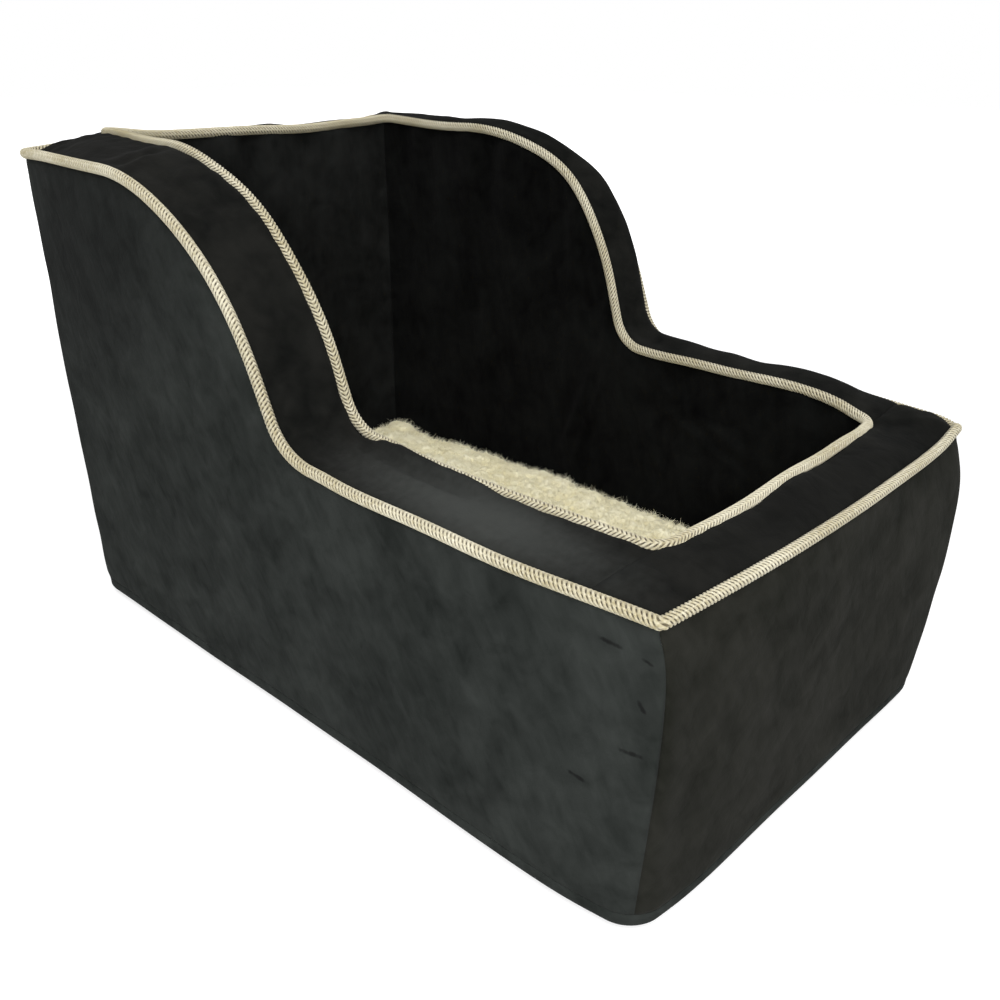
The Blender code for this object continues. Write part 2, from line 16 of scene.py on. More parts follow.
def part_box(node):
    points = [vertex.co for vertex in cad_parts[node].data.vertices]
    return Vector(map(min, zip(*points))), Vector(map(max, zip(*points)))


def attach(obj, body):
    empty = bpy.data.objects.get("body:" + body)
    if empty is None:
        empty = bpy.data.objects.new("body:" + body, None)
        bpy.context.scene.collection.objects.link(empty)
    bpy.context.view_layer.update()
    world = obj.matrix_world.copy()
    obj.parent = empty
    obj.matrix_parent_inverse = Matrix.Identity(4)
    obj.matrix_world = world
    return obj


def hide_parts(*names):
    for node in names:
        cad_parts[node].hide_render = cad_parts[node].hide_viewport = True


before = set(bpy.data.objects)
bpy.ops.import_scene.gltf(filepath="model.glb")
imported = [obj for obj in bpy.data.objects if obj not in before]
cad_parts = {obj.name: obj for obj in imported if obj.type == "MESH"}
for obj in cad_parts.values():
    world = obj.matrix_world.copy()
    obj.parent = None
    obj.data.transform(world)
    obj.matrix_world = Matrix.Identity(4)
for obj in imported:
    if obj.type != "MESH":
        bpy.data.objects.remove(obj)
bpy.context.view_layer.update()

# Measures of the sewn cover, as in the solids
SEAT_LENGTH = 0.467
FRONT_WIDTH = 0.282
BACK_WIDTH = 0.291
SIDE_BOW = 0.009
FRONT_BOW = 0.007
FRONT_HEIGHT = 0.167
BACK_HEIGHT = 0.292
FOOT_SETBACK = 0.268
SIDE_RISE = 0.004
SWEEP_RUN = 0.160
FOOT_RADIUS = 0.030
FLANK_LENGTH = 0.022
SIDE_WALL = 0.039
END_WALL = 0.030
RIM_RISE = 0.006
RIM_CROWN = 0.001
RIM_SEAM_SETBACK = 0.034
RIM_SEAM_REACH = 0.008
BELLY_HEIGHT = 0.125
BELLY_REACH = 0.006
BELLY_FRONT_BOW = 0.003
BELLY_SIDE_BOW = 0.007
LOW_REACH = 0.005
LOW_FRONT_BOW = 0.0025
LOW_SIDE_BOW = 0.0005
FRONT_CORNER = 0.004
BELLY_CORNER = 0.006
LOW_CORNER = 0.018
BACK_CORNER = 0.010
CABIN_CORNER = 0.010
SHARP_CORNER = 0.0005
PAD_CORNER = 0.004
EDGE_RADIUS = 0.008
BOTTOM_SEAM = 0.012
CORD_RADIUS = 0.00275
CORD_SEAT = 0.00305
PAD_CLEARANCE = 0.001
PAD_HEIGHT = 0.034
PAD_CROWN = 0.004
PAD_DRAW = 0.003
PILE = 0.009
TUCK = 0.00216
CLOTH = 0.0009
UNDER_COVER = 0.0023
FOAM_GIVE = 0.0015

# Places that the solids give
BACK_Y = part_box("cover_back")[1].y
FRONT_Y = BACK_Y - SEAT_LENGTH
FLOOR_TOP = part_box("lining_floor")[1].z
LINING_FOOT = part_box("lining_floor")[0].z
MIDDLE_Y = (FRONT_Y + BACK_Y) / 2
CORNER_Y = FRONT_Y + FRONT_BOW
SEAM_Y = CORNER_Y + RIM_SEAM_SETBACK
FOOT_Y = BACK_Y - FOOT_SETBACK
CREST_Y = FOOT_Y + SWEEP_RUN
FOOT_Z = FRONT_HEIGHT + SIDE_RISE
SWEEP_HEIGHT = BACK_HEIGHT - FOOT_Z
BOTH_RADII = (SWEEP_HEIGHT ** 2 + SWEEP_RUN ** 2 - FLANK_LENGTH ** 2) / (2 * SWEEP_HEIGHT)
SHOULDER_RADIUS = BOTH_RADII - FOOT_RADIUS
SWEEP_ANGLE = math.atan2(
    SWEEP_RUN * BOTH_RADII - (BOTH_RADII - SWEEP_HEIGHT) * FLANK_LENGTH,
    SWEEP_RUN * FLANK_LENGTH + (BOTH_RADII - SWEEP_HEIGHT) * BOTH_RADII,
)

# Fineness of the cloth and of the cords
CLOTH_PITCH = 0.0022
CORNER_STEPS = 8
LOW_STEPS = 40
FOOT_STEPS = 16
SHOULDER_STEPS = 40
TOP_STEPS = 16
END_STEPS = 60
SEAM_STEPS = 10
RIB_PITCH = 0.0022
RINGS_PER_RIB = 5
CORD_SIDES = 18

# A level is the plan of the outside at one height. A layer is a skin that runs all round the
# seat at one depth in the wall. A station is one upright line of the wall: its side is 1 on the
# left, -1 on the right and 0 on an end, and its end is -1 at the front and 1 at the back. A rib
# crosses the wall from an outer station to an inner one.
Level = namedtuple("Level", "reach front_bow side_bow corner")
AT_RIM = Level(0, FRONT_BOW, SIDE_BOW, FRONT_CORNER)
AT_BELLY = Level(BELLY_REACH, BELLY_FRONT_BOW, BELLY_SIDE_BOW, BELLY_CORNER)
AT_GROUND = Level(LOW_REACH, LOW_FRONT_BOW, LOW_SIDE_BOW, LOW_CORNER)
Layer = namedtuple("Layer", "side end front_corner back_corner reach front_bow side_bow hollow")
Station = namedtuple(
    "Station", "side end angle share y height lean", defaults=(None, None, 0, None, 0)
)
Rib = namedtuple("Rib", "outer inner")


def outer_layer(depth, level=AT_RIM):
    front = max(level.corner - depth, SHARP_CORNER)
    back = max(BACK_CORNER - depth, SHARP_CORNER)
    return Layer(depth, depth, front, back, level.reach, level.front_bow, level.side_bow, 0)


def cabin_layer(inward, draw=0):
    corner = max(CABIN_CORNER - inward, PAD_CORNER)
    bows = (FRONT_BOW - draw, SIDE_BOW - draw)
    return Layer(SIDE_WALL + inward, END_WALL + inward, corner, corner, 0, *bows, draw)


def half_width(layer, y):
    along = np.clip((y - CORNER_Y) / (BACK_Y - CORNER_Y), 0, 1)
    corners = (FRONT_WIDTH + (BACK_WIDTH - FRONT_WIDTH) * along) / 2
    swell = layer.side_bow * (1 - (2 * along - 1) ** 2)
    return corners + swell - layer.side


def front_face(layer, x):
    swell = layer.front_bow * (1 - (2 * x / FRONT_WIDTH) ** 2)
    return CORNER_Y - layer.reach - swell + layer.end


def back_face(layer, x):
    return BACK_Y - layer.end - layer.hollow * (1 - (2 * x / BACK_WIDTH) ** 2)


def corner_centre(layer, end):
    radius = layer.front_corner if end < 0 else layer.back_corner
    x, y = FRONT_WIDTH / 2, MIDDLE_Y
    for _ in range(4):
        y = front_face(layer, x) + radius if end < 0 else back_face(layer, x) - radius
        x = half_width(layer, y) - radius
    return x, y, radius


def plan(layer, station, shift=0):
    """The station's x and y in the layer; shift moves a spot on a long side along Y."""
    if station.angle is not None:
        x, y, radius = corner_centre(layer, station.end)
        turn = math.radians(station.angle)
        x += radius * math.cos(turn)
        return station.side * x, y + station.end * radius * math.sin(turn)
    if station.side == 0:
        reach = corner_centre(layer, station.end)[0]
        x = reach * station.share
        return x, front_face(layer, x) if station.end < 0 else back_face(layer, x)
    y = station.y
    if station.share is not None:
        tail = corner_centre(layer, station.end)[1]
        y += (tail - y) * station.share
    y += shift
    return station.side * half_width(layer, y), y


def run_height(end, y):
    if end > 0:
        return BACK_HEIGHT
    along = (y - CORNER_Y) / (FOOT_Y - CORNER_Y)
    return FRONT_HEIGHT + SIDE_RISE * min(max(along, 0), 1)


def on_rim(station, layer, rise):
    """A point at a height above the rim's line, square to it."""
    x, y = plan(layer, station, -math.sin(station.lean) * rise)
    height = run_height(station.end, y) if station.height is None else station.height
    return Vector((x, y, height + math.cos(station.lean) * rise))


def at_level(station, layer, z):
    x, y = plan(layer, station)
    return Vector((x, y, z))


def corner_stations(side, end, angles):
    return [Station(side, end, angle) for angle in angles]


def end_run(end):
    return [Station(0, end, share=2 * step / END_STEPS - 1) for step in range(1, END_STEPS)]


def end_stations(end):
    half = [45 + angle for angle in CORNER_HALF]
    return corner_stations(-1, end, half) + end_run(end) + corner_stations(1, end, half[::-1])


def low_run(side, start=None):
    """The stations beside the low front, from the corner, or from a place, to the sweep's foot."""
    shares = [1 - step / LOW_STEPS for step in range(1, LOW_STEPS)]
    if start is None:
        return [Station(side, -1, share=share, y=FOOT_Y) for share in shares]
    return [Station(side, -1, y=FOOT_Y + (start - FOOT_Y) * share) for share in shares]


def sweep_to_back(side):
    stations = []
    for step in range(FOOT_STEPS + 1):
        lean = SWEEP_ANGLE * step / FOOT_STEPS
        y = FOOT_Y + FOOT_RADIUS * math.sin(lean)
        height = FOOT_Z + FOOT_RADIUS * (1 - math.cos(lean))
        stations.append(Station(side, 0, y=y, height=height, lean=lean))
    for step in range(SHOULDER_STEPS + 1):
        lean = SWEEP_ANGLE * (1 - step / SHOULDER_STEPS)
        y = CREST_Y - SHOULDER_RADIUS * math.sin(lean)
        height = BACK_HEIGHT - SHOULDER_RADIUS * (1 - math.cos(lean))
        stations.append(Station(side, 0, y=y, height=height, lean=lean))
    for step in range(1, TOP_STEPS):
        stations.append(Station(side, 1, share=step / TOP_STEPS, y=CREST_Y))
    return stations + corner_stations(side, 1, CORNER_HALF)


def side_stations(side):
    return corner_stations(side, -1, CORNER_HALF[::-1]) + low_run(side) + sweep_to_back(side)


def same(stations):
    return [Rib(station, station) for station in stations]


def side_ribs(side):
    """A side's ribs, from the seam behind its front corner to the middle of its back corner."""
    inner = corner_stations(side, -1, CORNER_HALF[::-1])
    pitch = RIM_SEAM_REACH / CORNER_STEPS
    outer = [Station(side, -1, y=SEAM_Y + pitch * step) for step in range(len(inner))]
    inner += low_run(side)
    outer += low_run(side, outer[-1].y)
    return [Rib(*pair) for pair in zip(outer, inner)] + same(sweep_to_back(side))


def front_corner_ribs(side):
    """The ribs round a front corner, from the seam on the side to the start of the front.

    The inner corner turns by 45 degrees meanwhile: a quarter of them along the outer run from the
    seam, a quarter round the first half of the outer corner, and the rest round its second half.
    """
    ribs = []
    for step in range(SEAM_STEPS):
        share = step / SEAM_STEPS
        outer = Station(side, -1, share=share, y=SEAM_Y)
        ribs.append(Rib(outer, Station(side, -1, 45 + 11.25 * share)))
    for step in range(CORNER_STEPS * 2 + 1):
        turn = 45 * step / CORNER_STEPS
        inner = 56.25 + turn / 4 if turn < 45 else 67.5 + (turn - 45) / 2
        ribs.append(Rib(*corner_stations(side, -1, [turn, inner])))
    return ribs


CORNER_HALF = [45 * step / CORNER_STEPS for step in range(CORNER_STEPS + 1)]
PANELS = {
    "front": end_stations(-1),
    "left": side_stations(1),
    "back": end_stations(1),
    "right": side_stations(-1),
}
WALLS = {
    "front": front_corner_ribs(-1) + same(end_run(-1)) + front_corner_ribs(1)[::-1],
    "left": side_ribs(1),
    "back": same(end_stations(1)),
    "right": side_ribs(-1),
}
ALL_ROUND = (
    PANELS["front"][:-1] + PANELS["left"][:-1] + PANELS["back"][:0:-1] + PANELS["right"][:0:-1]
)


# Meshes

def mesh_of(bm, name):
    """A new mesh of what the bmesh holds, which is freed."""
    mesh = bpy.data.meshes.new(name)
    bm.to_mesh(mesh)
    bm.free()
    return mesh


def new_object(name, data):
    made = bpy.data.objects.new(name, data)
    bpy.context.scene.collection.objects.link(made)
    return made


def lengths(points):
    """How far along each row of points lies from the first one, by the middle line."""
    middle = points[:, points.shape[1] // 2]
    steps = np.linalg.norm(np.diff(middle, axis=0), axis=1)
    return np.concatenate(([0], np.cumsum(steps)))


def spread(points, count):
    """The same strip with its rows set out evenly along it."""
    far = lengths(points)
    places = np.linspace(0, far[-1], count + 1)
    out = np.empty((count + 1, points.shape[1], 3))
    for row in range(points.shape[1]):
        for axis in range(3):
            out[:, row, axis] = np.interp(places, far, points[:, row, axis])
    return out


def finely(rails, pitch=CLOTH_PITCH):
    """A strip given by rails across it, filled out to an even net of about the pitch."""
    net = np.array(rails, dtype=float)
    net = spread(net, max(round(lengths(net)[-1] / pitch), 2))
    net = net.swapaxes(0, 1)
    net = spread(net, max(round(lengths(net)[-1] / pitch), 2))
    return net.swapaxes(0, 1)


def normals(net):
    along = np.gradient(net, axis=0)
    across = np.gradient(net, axis=1)
    square = np.cross(along, across)
    return square / np.maximum(np.linalg.norm(square, axis=2, keepdims=True), 1e-9)


def facing(net, way):
    """The net turned so that its faces look out of the seat, into the cabin, or up."""
    middle = np.array((0, MIDDLE_Y, 0))
    square = normals(net)
    flat = (net - middle) * (1, 1, 0)
    score = {"out": (square * flat).sum(), "in": -(square * flat).sum(), "up": square[..., 2].sum()}
    return net if score[way] > 0 else net[::-1]


def patches(first, second, seed):
    """Smooth noise from about -1 to 1 over two arrays of coordinates."""
    pairs = zip(first.ravel().tolist(), second.ravel().tolist())
    return np.array([noise.noise((a, b, seed)) for a, b in pairs]).reshape(first.shape)


def lumps(net, size, seed):
    """Smooth noise in space, with lumps of about that size."""
    places = (net.reshape(-1, 3) / size + seed).tolist()
    return np.array([noise.noise(place) for place in places]).reshape(net.shape[:-1])


def settled(net):
    """The net with the unevenness of hand-sewn foam, the same for all that meets there."""
    drift = np.stack([SLACK * lumps(net, SLACK_SIZE, seed) for seed in (3.7, 11.9, 23.3)], axis=-1)
    for middle, reach, pull in PULLS:
        weight = np.exp(-(((net - middle) / reach) ** 2).sum(axis=-1, keepdims=True))
        drift = drift + weight * pull
    return net + drift


def grid_mesh(name, net, ring_along=False, ring_across=False):
    """A grid bent to the net, with its UV map from 0 to 1 along and across."""
    along, across = net.shape[0] - 1, net.shape[1] - 1
    bm = bmesh.new()
    bm.loops.layers.uv.new("net")
    bmesh.ops.create_grid(bm, x_segments=along, y_segments=across, size=0.5, calc_uvs=True)
    for vert in bm.verts:
        i = round((vert.co.x + 0.5) * along)
        j = round((vert.co.y + 0.5) * across)
        vert.co = net[i, j]
    if ring_along or ring_across:
        bmesh.ops.remove_doubles(bm, verts=bm.verts, dist=MERGE)
    return mesh_of(bm, name)


def add_piece(name, mesh, finish, body="seat", nodes=()):
    """Links a finished mesh as a piece that rides on a body and stands for CAD nodes."""
    piece = new_object(name, mesh)
    mesh.materials.clear()
    mesh.materials.append(finish)
    mesh.shade_smooth()
    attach(piece, body)
    if nodes:
        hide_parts(*nodes)
    return piece


def thicken(piece, thickness=CLOTH):
    """Gives a sheet its thickness, inwards from the net."""
    wall = piece.modifiers.new("thickness", "SOLIDIFY")
    wall.thickness = thickness
    wall.offset = -1


def add_sheet(name, net, finish, nodes, body="seat", thickness=CLOTH):
    """Adds a net as a piece of cloth, with its thickness."""
    piece = add_piece(name, grid_mesh(name, net), finish, body, nodes)
    thicken(piece, thickness)


def close(mesh, ceiling=math.inf):
    """Closes a mesh's open edges below a height with flat faces and turns all faces outwards."""
    bm = bmesh.new()
    bm.from_mesh(mesh)
    hole = [e for e in bm.edges if e.is_boundary and max(v.co.z for v in e.verts) < ceiling]
    bmesh.ops.holes_fill(bm, edges=hole)
    bmesh.ops.recalc_face_normals(bm, faces=bm.faces)
    bm.to_mesh(mesh)
    bm.free()


def copies(name, template, places):
    """One mesh that holds a copy of the template at each place, a 4 x 4 matrix."""
    corners = np.array([(*v.co, 1) for v in template.vertices])
    faces = [tuple(face.vertices) for face in template.polygons]
    all_corners = np.concatenate([corners @ np.array(place).T for place in places])[:, :3]
    count = len(corners)
    all_faces = [
        tuple(corner + count * turn for corner in face)
        for turn in range(len(places)) for face in faces
    ]
    mesh = bpy.data.meshes.new(name)
    mesh.from_pydata(all_corners.tolist(), [], all_faces)
    mesh.update()
    return mesh


def framed(origin, x_axis, y_axis, z_axis):
    """A matrix that puts a template's axes along three given vectors."""
    made = Matrix.Identity(4)
    for column, vector in enumerate((x_axis, y_axis, z_axis, origin)):
        for row in range(3):
            made[row][column] = vector[row]
    return made


# Cloth relief

def edge_distances(net):
    """How far each spot of the net lies from its nearest end, and from its low and high edge."""
    along = lengths(net)
    across = lengths(net.swapaxes(0, 1))
    ends = np.minimum(along, along[-1] - along)
    return along[:, None] + 0 * across, across + 0 * along[:, None], ends[:, None] + 0 * across


def pillow(distance, width):
    return 1 - np.exp(-np.maximum(distance, 0) / width)


def crease(net, start, end, width, depth):
    """A fold between two places: a groove with a soft ridge on either side of it."""
    start, end = np.array(start), np.array(end)
    way = end - start
    share = np.clip(((net - start) @ way) / (way @ way), 0, 1)
    distance = np.linalg.norm(net - (start + share[..., None] * way), axis=-1)
    fade = np.clip(1.15 - np.abs(2 * share - 1) ** 3, 0, 1)
    wave = distance / width
    return depth * fade * (0.6 * np.exp(-(wave - 1.9) ** 2) - np.exp(-wave ** 2))


def cloth(name, rails, way, finish, relief, nodes, low_seam=True, high_seam=False,
          swell=0.0007):
    """A sewn panel over foam: it swells out of its seams and puckers along the cord."""
    net = facing(finely(rails), way)
    along, across, ends = edge_distances(net)
    high = across[0, -1] - across
    edges = ends
    if low_seam:
        edges = np.minimum(edges, across)
    if high_seam:
        edges = np.minimum(edges, high)
    free = pillow(np.minimum(np.minimum(ends, across), high), SEAM_FADE)
    height = swell * pillow(edges, SEAM_WIDTH) * free + relief(net, along, across, high) * free
    net = settled(net) + normals(net) * height[..., None]
    add_sheet(name, net, finish, nodes)


SLACK = 0.0007
SLACK_SIZE = 0.070
# Where the sewn seat is pulled out of true: the middle, the reach and the pull of each
PULLS = (
    ((0.141, -0.236, 0.060), (0.085, 0.080, 0.110), (0.0, -0.006, 0.0)),
    ((0.107, -0.110, 0.178), (0.020, 0.100, 0.060), (0.0, 0.0, 0.002)),
    ((0.128, -0.130, 0.178), (0.015, 0.110, 0.060), (0.0, 0.0, 0.009)),
    ((0.134, 0.020, 0.235), (0.012, 0.070, 0.090), (0.0, -0.010, 0.009)),
    ((0.135, -0.045, 0.180), (0.011, 0.030, 0.030), (0.0, 0.0, 0.0045)),
    ((0.115, 0.125, 0.295), (0.050, 0.080, 0.060), (0.0, 0.0, -0.004)),
    ((0.128, 0.120, 0.300), (0.018, 0.120, 0.080), (0.0, 0.0, 0.010)),
    ((0.110, 0.205, 0.300), (0.045, 0.035, 0.050), (0.0, 0.0, 0.004)),
    ((0.0, 0.219, 0.300), (0.090, 0.009, 0.050), (0.0, 0.0, 0.004)),
    ((-0.143, -0.160, 0.020), (0.040, 0.080, 0.060), (-0.003, 0.0, 0.0)),
    ((-0.143, -0.232, 0.0), (0.030, 0.030, 0.050), (0.003, 0.003, 0.0)),
    ((0.0, -0.206, 0.175), (0.035, 0.014, 0.050), (0.0, 0.0021, 0.0021)),
    ((0.060, -0.205, 0.175), (0.035, 0.014, 0.050), (-0.0007, 0.0032, 0.0015)),
    ((0.100, -0.200, 0.176), (0.020, 0.020, 0.050), (-0.0028, 0.0055, -0.0022)),
    ((0.108, -0.155, 0.178), (0.022, 0.035, 0.050), (0.0003, 0.0005, 0.0014)),
    ((0.111, -0.105, 0.180), (0.022, 0.035, 0.050), (-0.0007, 0.0, -0.0020)),
    ((0.113, -0.045, 0.182), (0.022, 0.035, 0.050), (-0.0019, 0.0014, -0.0028)),
    ((0.113, 0.0, 0.225), (0.022, 0.035, 0.050), (0.0013, -0.0013, 0.0015)),
    ((0.113, 0.040, 0.270), (0.022, 0.035, 0.050), (0.0034, -0.0034, 0.0038)),
    ((0.112, 0.085, 0.295), (0.022, 0.035, 0.050), (0.0007, -0.0006, 0.0010)),
    ((0.105, 0.195, 0.300), (0.030, 0.020, 0.050), (-0.0002, 0.0001, -0.0011)),
    ((0.035, 0.201, 0.300), (0.035, 0.014, 0.050), (0.0, -0.0001, -0.0011)),
    ((-0.106, 0.180, 0.298), (0.022, 0.040, 0.050), (0.0005, 0.0002, 0.0043)),
    ((-0.112, 0.110, 0.296), (0.022, 0.035, 0.050), (0.0008, -0.0002, 0.0026)),
    ((-0.113, 0.050, 0.275), (0.022, 0.035, 0.050), (0.0028, -0.0015, 0.0019)),
    ((-0.113, 0.0, 0.225), (0.022, 0.035, 0.050), (0.0023, -0.0011, 0.0015)),
    ((-0.113, -0.035, 0.180), (0.022, 0.035, 0.050), (0.0018, -0.0009, 0.0010)),
    ((-0.144, 0.228, 0.292), (0.020, 0.020, 0.060), (0.0014, -0.0007, -0.0014)),
    ((0.144, -0.232, 0.168), (0.010, 0.010, 0.030), (-0.0040, 0.0030, -0.0010)),
    ((-0.152, -0.033, 0.171), (0.018, 0.025, 0.050), (0.0010, 0.0001, 0.0015)),
    ((-0.147, -0.150, 0.169), (0.018, 0.040, 0.050), (-0.0007, 0.0, -0.0009)),
)
MERGE = 0.000002
SEAM_WIDTH = 0.0022
SEAM_FADE = 0.0015


def cover_relief(net, along, across, high):
    """Stretched cloth: slow dents, and short puckers that run down from the cord."""
    dents = 0.0011 * lumps(net, 0.075, 1.3) + 0.0006 * lumps(net, 0.026, 7.1)
    puckers = 0.0007 * patches(along / 0.0085, high / 0.05, 4.2) * np.exp(-high / 0.014)
    return dents + puckers


def rim_relief(net, along, across, high):
    """The boxing strip is cut a little full, so it wrinkles lengthwise and along both cords."""
    long_folds = 0.0018 * patches(along / 0.050, across / 0.009, 9.4)
    dents = 0.0011 * patches(along / 0.024, across / 0.018, 2.8)
    near = np.minimum(across, high)
    puckers = 0.0008 * patches(along / 0.007, near / 0.03, 6.5) * np.exp(-near / 0.008)
    folds = sum(crease(net, *fold) for fold in RIM_FOLDS)
    return long_folds + dents + puckers + folds


def lining_relief(net, along, across, high):
    """The lining hangs a little loose: drape folds that start at the cord and fade downwards."""
    drape = 0.0042 * patches(along / 0.018, high / 0.12, 5.1) * np.exp(-high / 0.08)
    dents = 0.0016 * lumps(net, 0.055, 8.6)
    folds = sum(crease(net, *fold) for fold in LINING_FOLDS)
    return drape + dents + folds


RIM_FOLDS = (
    ((-0.143, -0.030, 0.176), (-0.116, -0.012, 0.188), 0.0026, 0.0026),
    ((-0.145, -0.012, 0.184), (-0.122, -0.001, 0.200), 0.0024, 0.0020),
    ((-0.136, -0.046, 0.176), (-0.114, -0.038, 0.180), 0.0030, 0.0018),
    ((-0.140, 0.060, 0.285), (-0.118, 0.080, 0.294), 0.0040, 0.0016),
    ((-0.146, 0.120, 0.296), (-0.118, 0.112, 0.298), 0.0050, 0.0016),
    ((-0.132, -0.212, 0.172), (-0.106, -0.186, 0.178), 0.0018, 0.0012),
    ((0.134, -0.226, 0.170), (0.104, -0.196, 0.180), 0.0024, 0.0020),
    ((-0.060, -0.222, 0.172), (0.020, -0.216, 0.176), 0.0032, 0.0012),
    ((-0.120, -0.185, 0.176), (-0.108, -0.120, 0.178), 0.0030, 0.0007),
    ((-0.1166, -0.034, 0.1778), (-0.1136, -0.120, 0.1758), 0.0036, -0.0042),
    ((-0.150, 0.222, 0.2990), (-0.105, 0.223, 0.2995), 0.0055, -0.0034),
)
LINING_FOLDS = (
    ((0.107, -0.010, 0.170), (0.108, 0.020, 0.085), 0.0040, 0.0038),
    ((0.107, -0.014, 0.168), (0.108, -0.060, 0.090), 0.0040, 0.0036),
    ((0.107, -0.016, 0.172), (0.107, -0.120, 0.120), 0.0036, 0.0026),
)


def fullness(share):
    """How a wall's belly swells from the ground, 0, to the cord, 1: slowly, then back at once."""
    return share * (1 - share ** 10)


def upright(station, low, depth=0, steps=40):
    """A station's line up the outer face, from low over the belly to just under the cord."""
    foot = at_level(station, outer_layer(depth, AT_GROUND), low)
    belly = at_level(station, outer_layer(depth, AT_BELLY), BELLY_HEIGHT)
    top = on_rim(station, outer_layer(depth), -CORD_SEAT - CORD_RADIUS)
    share = (BELLY_HEIGHT - low) / (top.z - low)
    swell = (belly - foot.lerp(top, share)) / fullness(share)
    swell.z = 0
    return [
        foot.lerp(top, step / steps) + swell * fullness(step / steps) for step in range(steps + 1)
    ]


def make_covers(suede):
    """The four outer panels, from the bottom seam up to their edge under the outer cord."""
    for side, stations in PANELS.items():
        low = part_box("zip_tape")[1].z if side == "back" else BOTTOM_SEAM
        rails = [
            (
                *upright(station, low),
                on_rim(station, outer_layer(0), -CORD_SEAT),
                on_rim(station, outer_layer(TUCK), -TUCK),
            )
            for station in stations
        ]
        cloth("outer_panel_" + side, rails, "out", suede[side], cover_relief,
              ["cover_" + side])


def make_hem(suede):
    """The strip of the back panel below the zip."""
    heights = BOTTOM_SEAM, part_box("zip_tape")[0].z
    rails = [
        [at_level(station, outer_layer(0, AT_GROUND), z) for z in heights]
        for station in PANELS["back"]
    ]
    cloth("outer_hem_back", rails, "out", suede["back"], cover_relief,
          ["cover_back_hem"], high_seam=True)


def across_rim(rib, below, steps=12):
    """The line over a rim from cord to cord, some way below its surface."""
    line = []
    for step in range(steps + 1):
        share = step / steps
        rise = RIM_RISE * share + RIM_CROWN * 4 * share * (1 - share) - below
        outside = on_rim(rib.outer, outer_layer(CORD_SEAT), rise)
        inside = on_rim(rib.inner, cabin_layer(-CORD_SEAT), rise)
        line.append(outside.lerp(inside, share))
    return line


def make_rims(suede):
    """The boxing strips on top of the walls, between the two cords."""
    for side, ribs in WALLS.items():
        rails = [
            (
                on_rim(rib.outer, outer_layer(TUCK), -TUCK),
                *across_rim(rib, 0),
                on_rim(rib.inner, cabin_layer(-TUCK), RIM_RISE - TUCK),
            )
            for rib in ribs
        ]
        cloth("rim_band_" + side, rails, "up", suede["rim"], rim_relief,
              ["rim_" + side], low_seam=False, swell=0.0002)


def make_linings(linings):
    for side, stations in PANELS.items():
        rails = [
            (
                at_level(station, cabin_layer(0), LINING_FOOT),
                on_rim(station, cabin_layer(0), RIM_RISE - CORD_SEAT - CORD_RADIUS),
                on_rim(station, cabin_layer(0), RIM_RISE - CORD_SEAT),
                on_rim(station, cabin_layer(-TUCK), RIM_RISE - TUCK),
            )
            for station in stations
        ]
        cloth("cabin_lining_" + side, rails, "in", linings[side], lining_relief,
              ["lining_" + side])


def make_bottom(suede):
    """The bottom panel: a shallow tray whose edge turns up to the seam."""
    turns = [math.pi / 2 * step / 8 for step in range(9)]
    profile = [(0, BOTTOM_SEAM - CLOTH / 4), (0, EDGE_RADIUS)]
    profile += [
        (EDGE_RADIUS * (1 - math.cos(turn)), EDGE_RADIUS * (1 - math.sin(turn))) for turn in turns
    ]
    rails = [
        [at_level(station, outer_layer(inset, AT_GROUND), z) for inset, z in profile]
        for station in ALL_ROUND + ALL_ROUND[:1]
    ]
    net = np.array(rails, dtype=float)
    net = spread(net, round(lengths(net)[-1] / CLOTH_PITCH))
    net = settled(facing(net, "out"))
    middle = np.array((0, MIDDLE_Y, 0))
    rings = [middle + (net[:, -1:] - middle) * (share, share, 1) for share in (0.8, 0.5, 0.2)]
    net = np.concatenate([net, *rings], axis=1)
    net[:, -4:, 2] = 0
    mesh = grid_mesh("bottom_panel", net, ring_along=True)
    close(mesh, EDGE_RADIUS / 2)
    piece = add_piece("bottom_panel", mesh, suede["left"], nodes=["cover_bottom"])
    thicken(piece)


def make_foam(finish):
    """The foam walls inside the cover, pulled out of true with it."""
    behind = outer_layer(UNDER_COVER, AT_GROUND)
    chamfer = outer_layer(EDGE_RADIUS, AT_GROUND)
    lining = cabin_layer(-UNDER_COVER)
    for side, ribs in WALLS.items():
        rails = []
        for rib in ribs:
            ring = [
                at_level(rib.inner, lining, UNDER_COVER),
                at_level(rib.outer, chamfer, UNDER_COVER),
                at_level(rib.outer, behind, EDGE_RADIUS),
                *upright(rib.outer, BOTTOM_SEAM, UNDER_COVER, 8),
                *across_rim(rib, UNDER_COVER + FOAM_GIVE, 6),
                on_rim(rib.inner, lining, RIM_RISE - CORD_SEAT - CORD_RADIUS),
            ]
            foot, head = ring[0], ring[-1]
            ring += [head.lerp(foot, step / 6) for step in range(1, 7)]
            rails.append(ring)
        net = settled(np.array(rails, dtype=float))
        name = "foam_wall_" + side
        mesh = grid_mesh(name, net, ring_across=True)
        close(mesh)
        add_piece(name, mesh, finish, nodes=["foam_" + side])


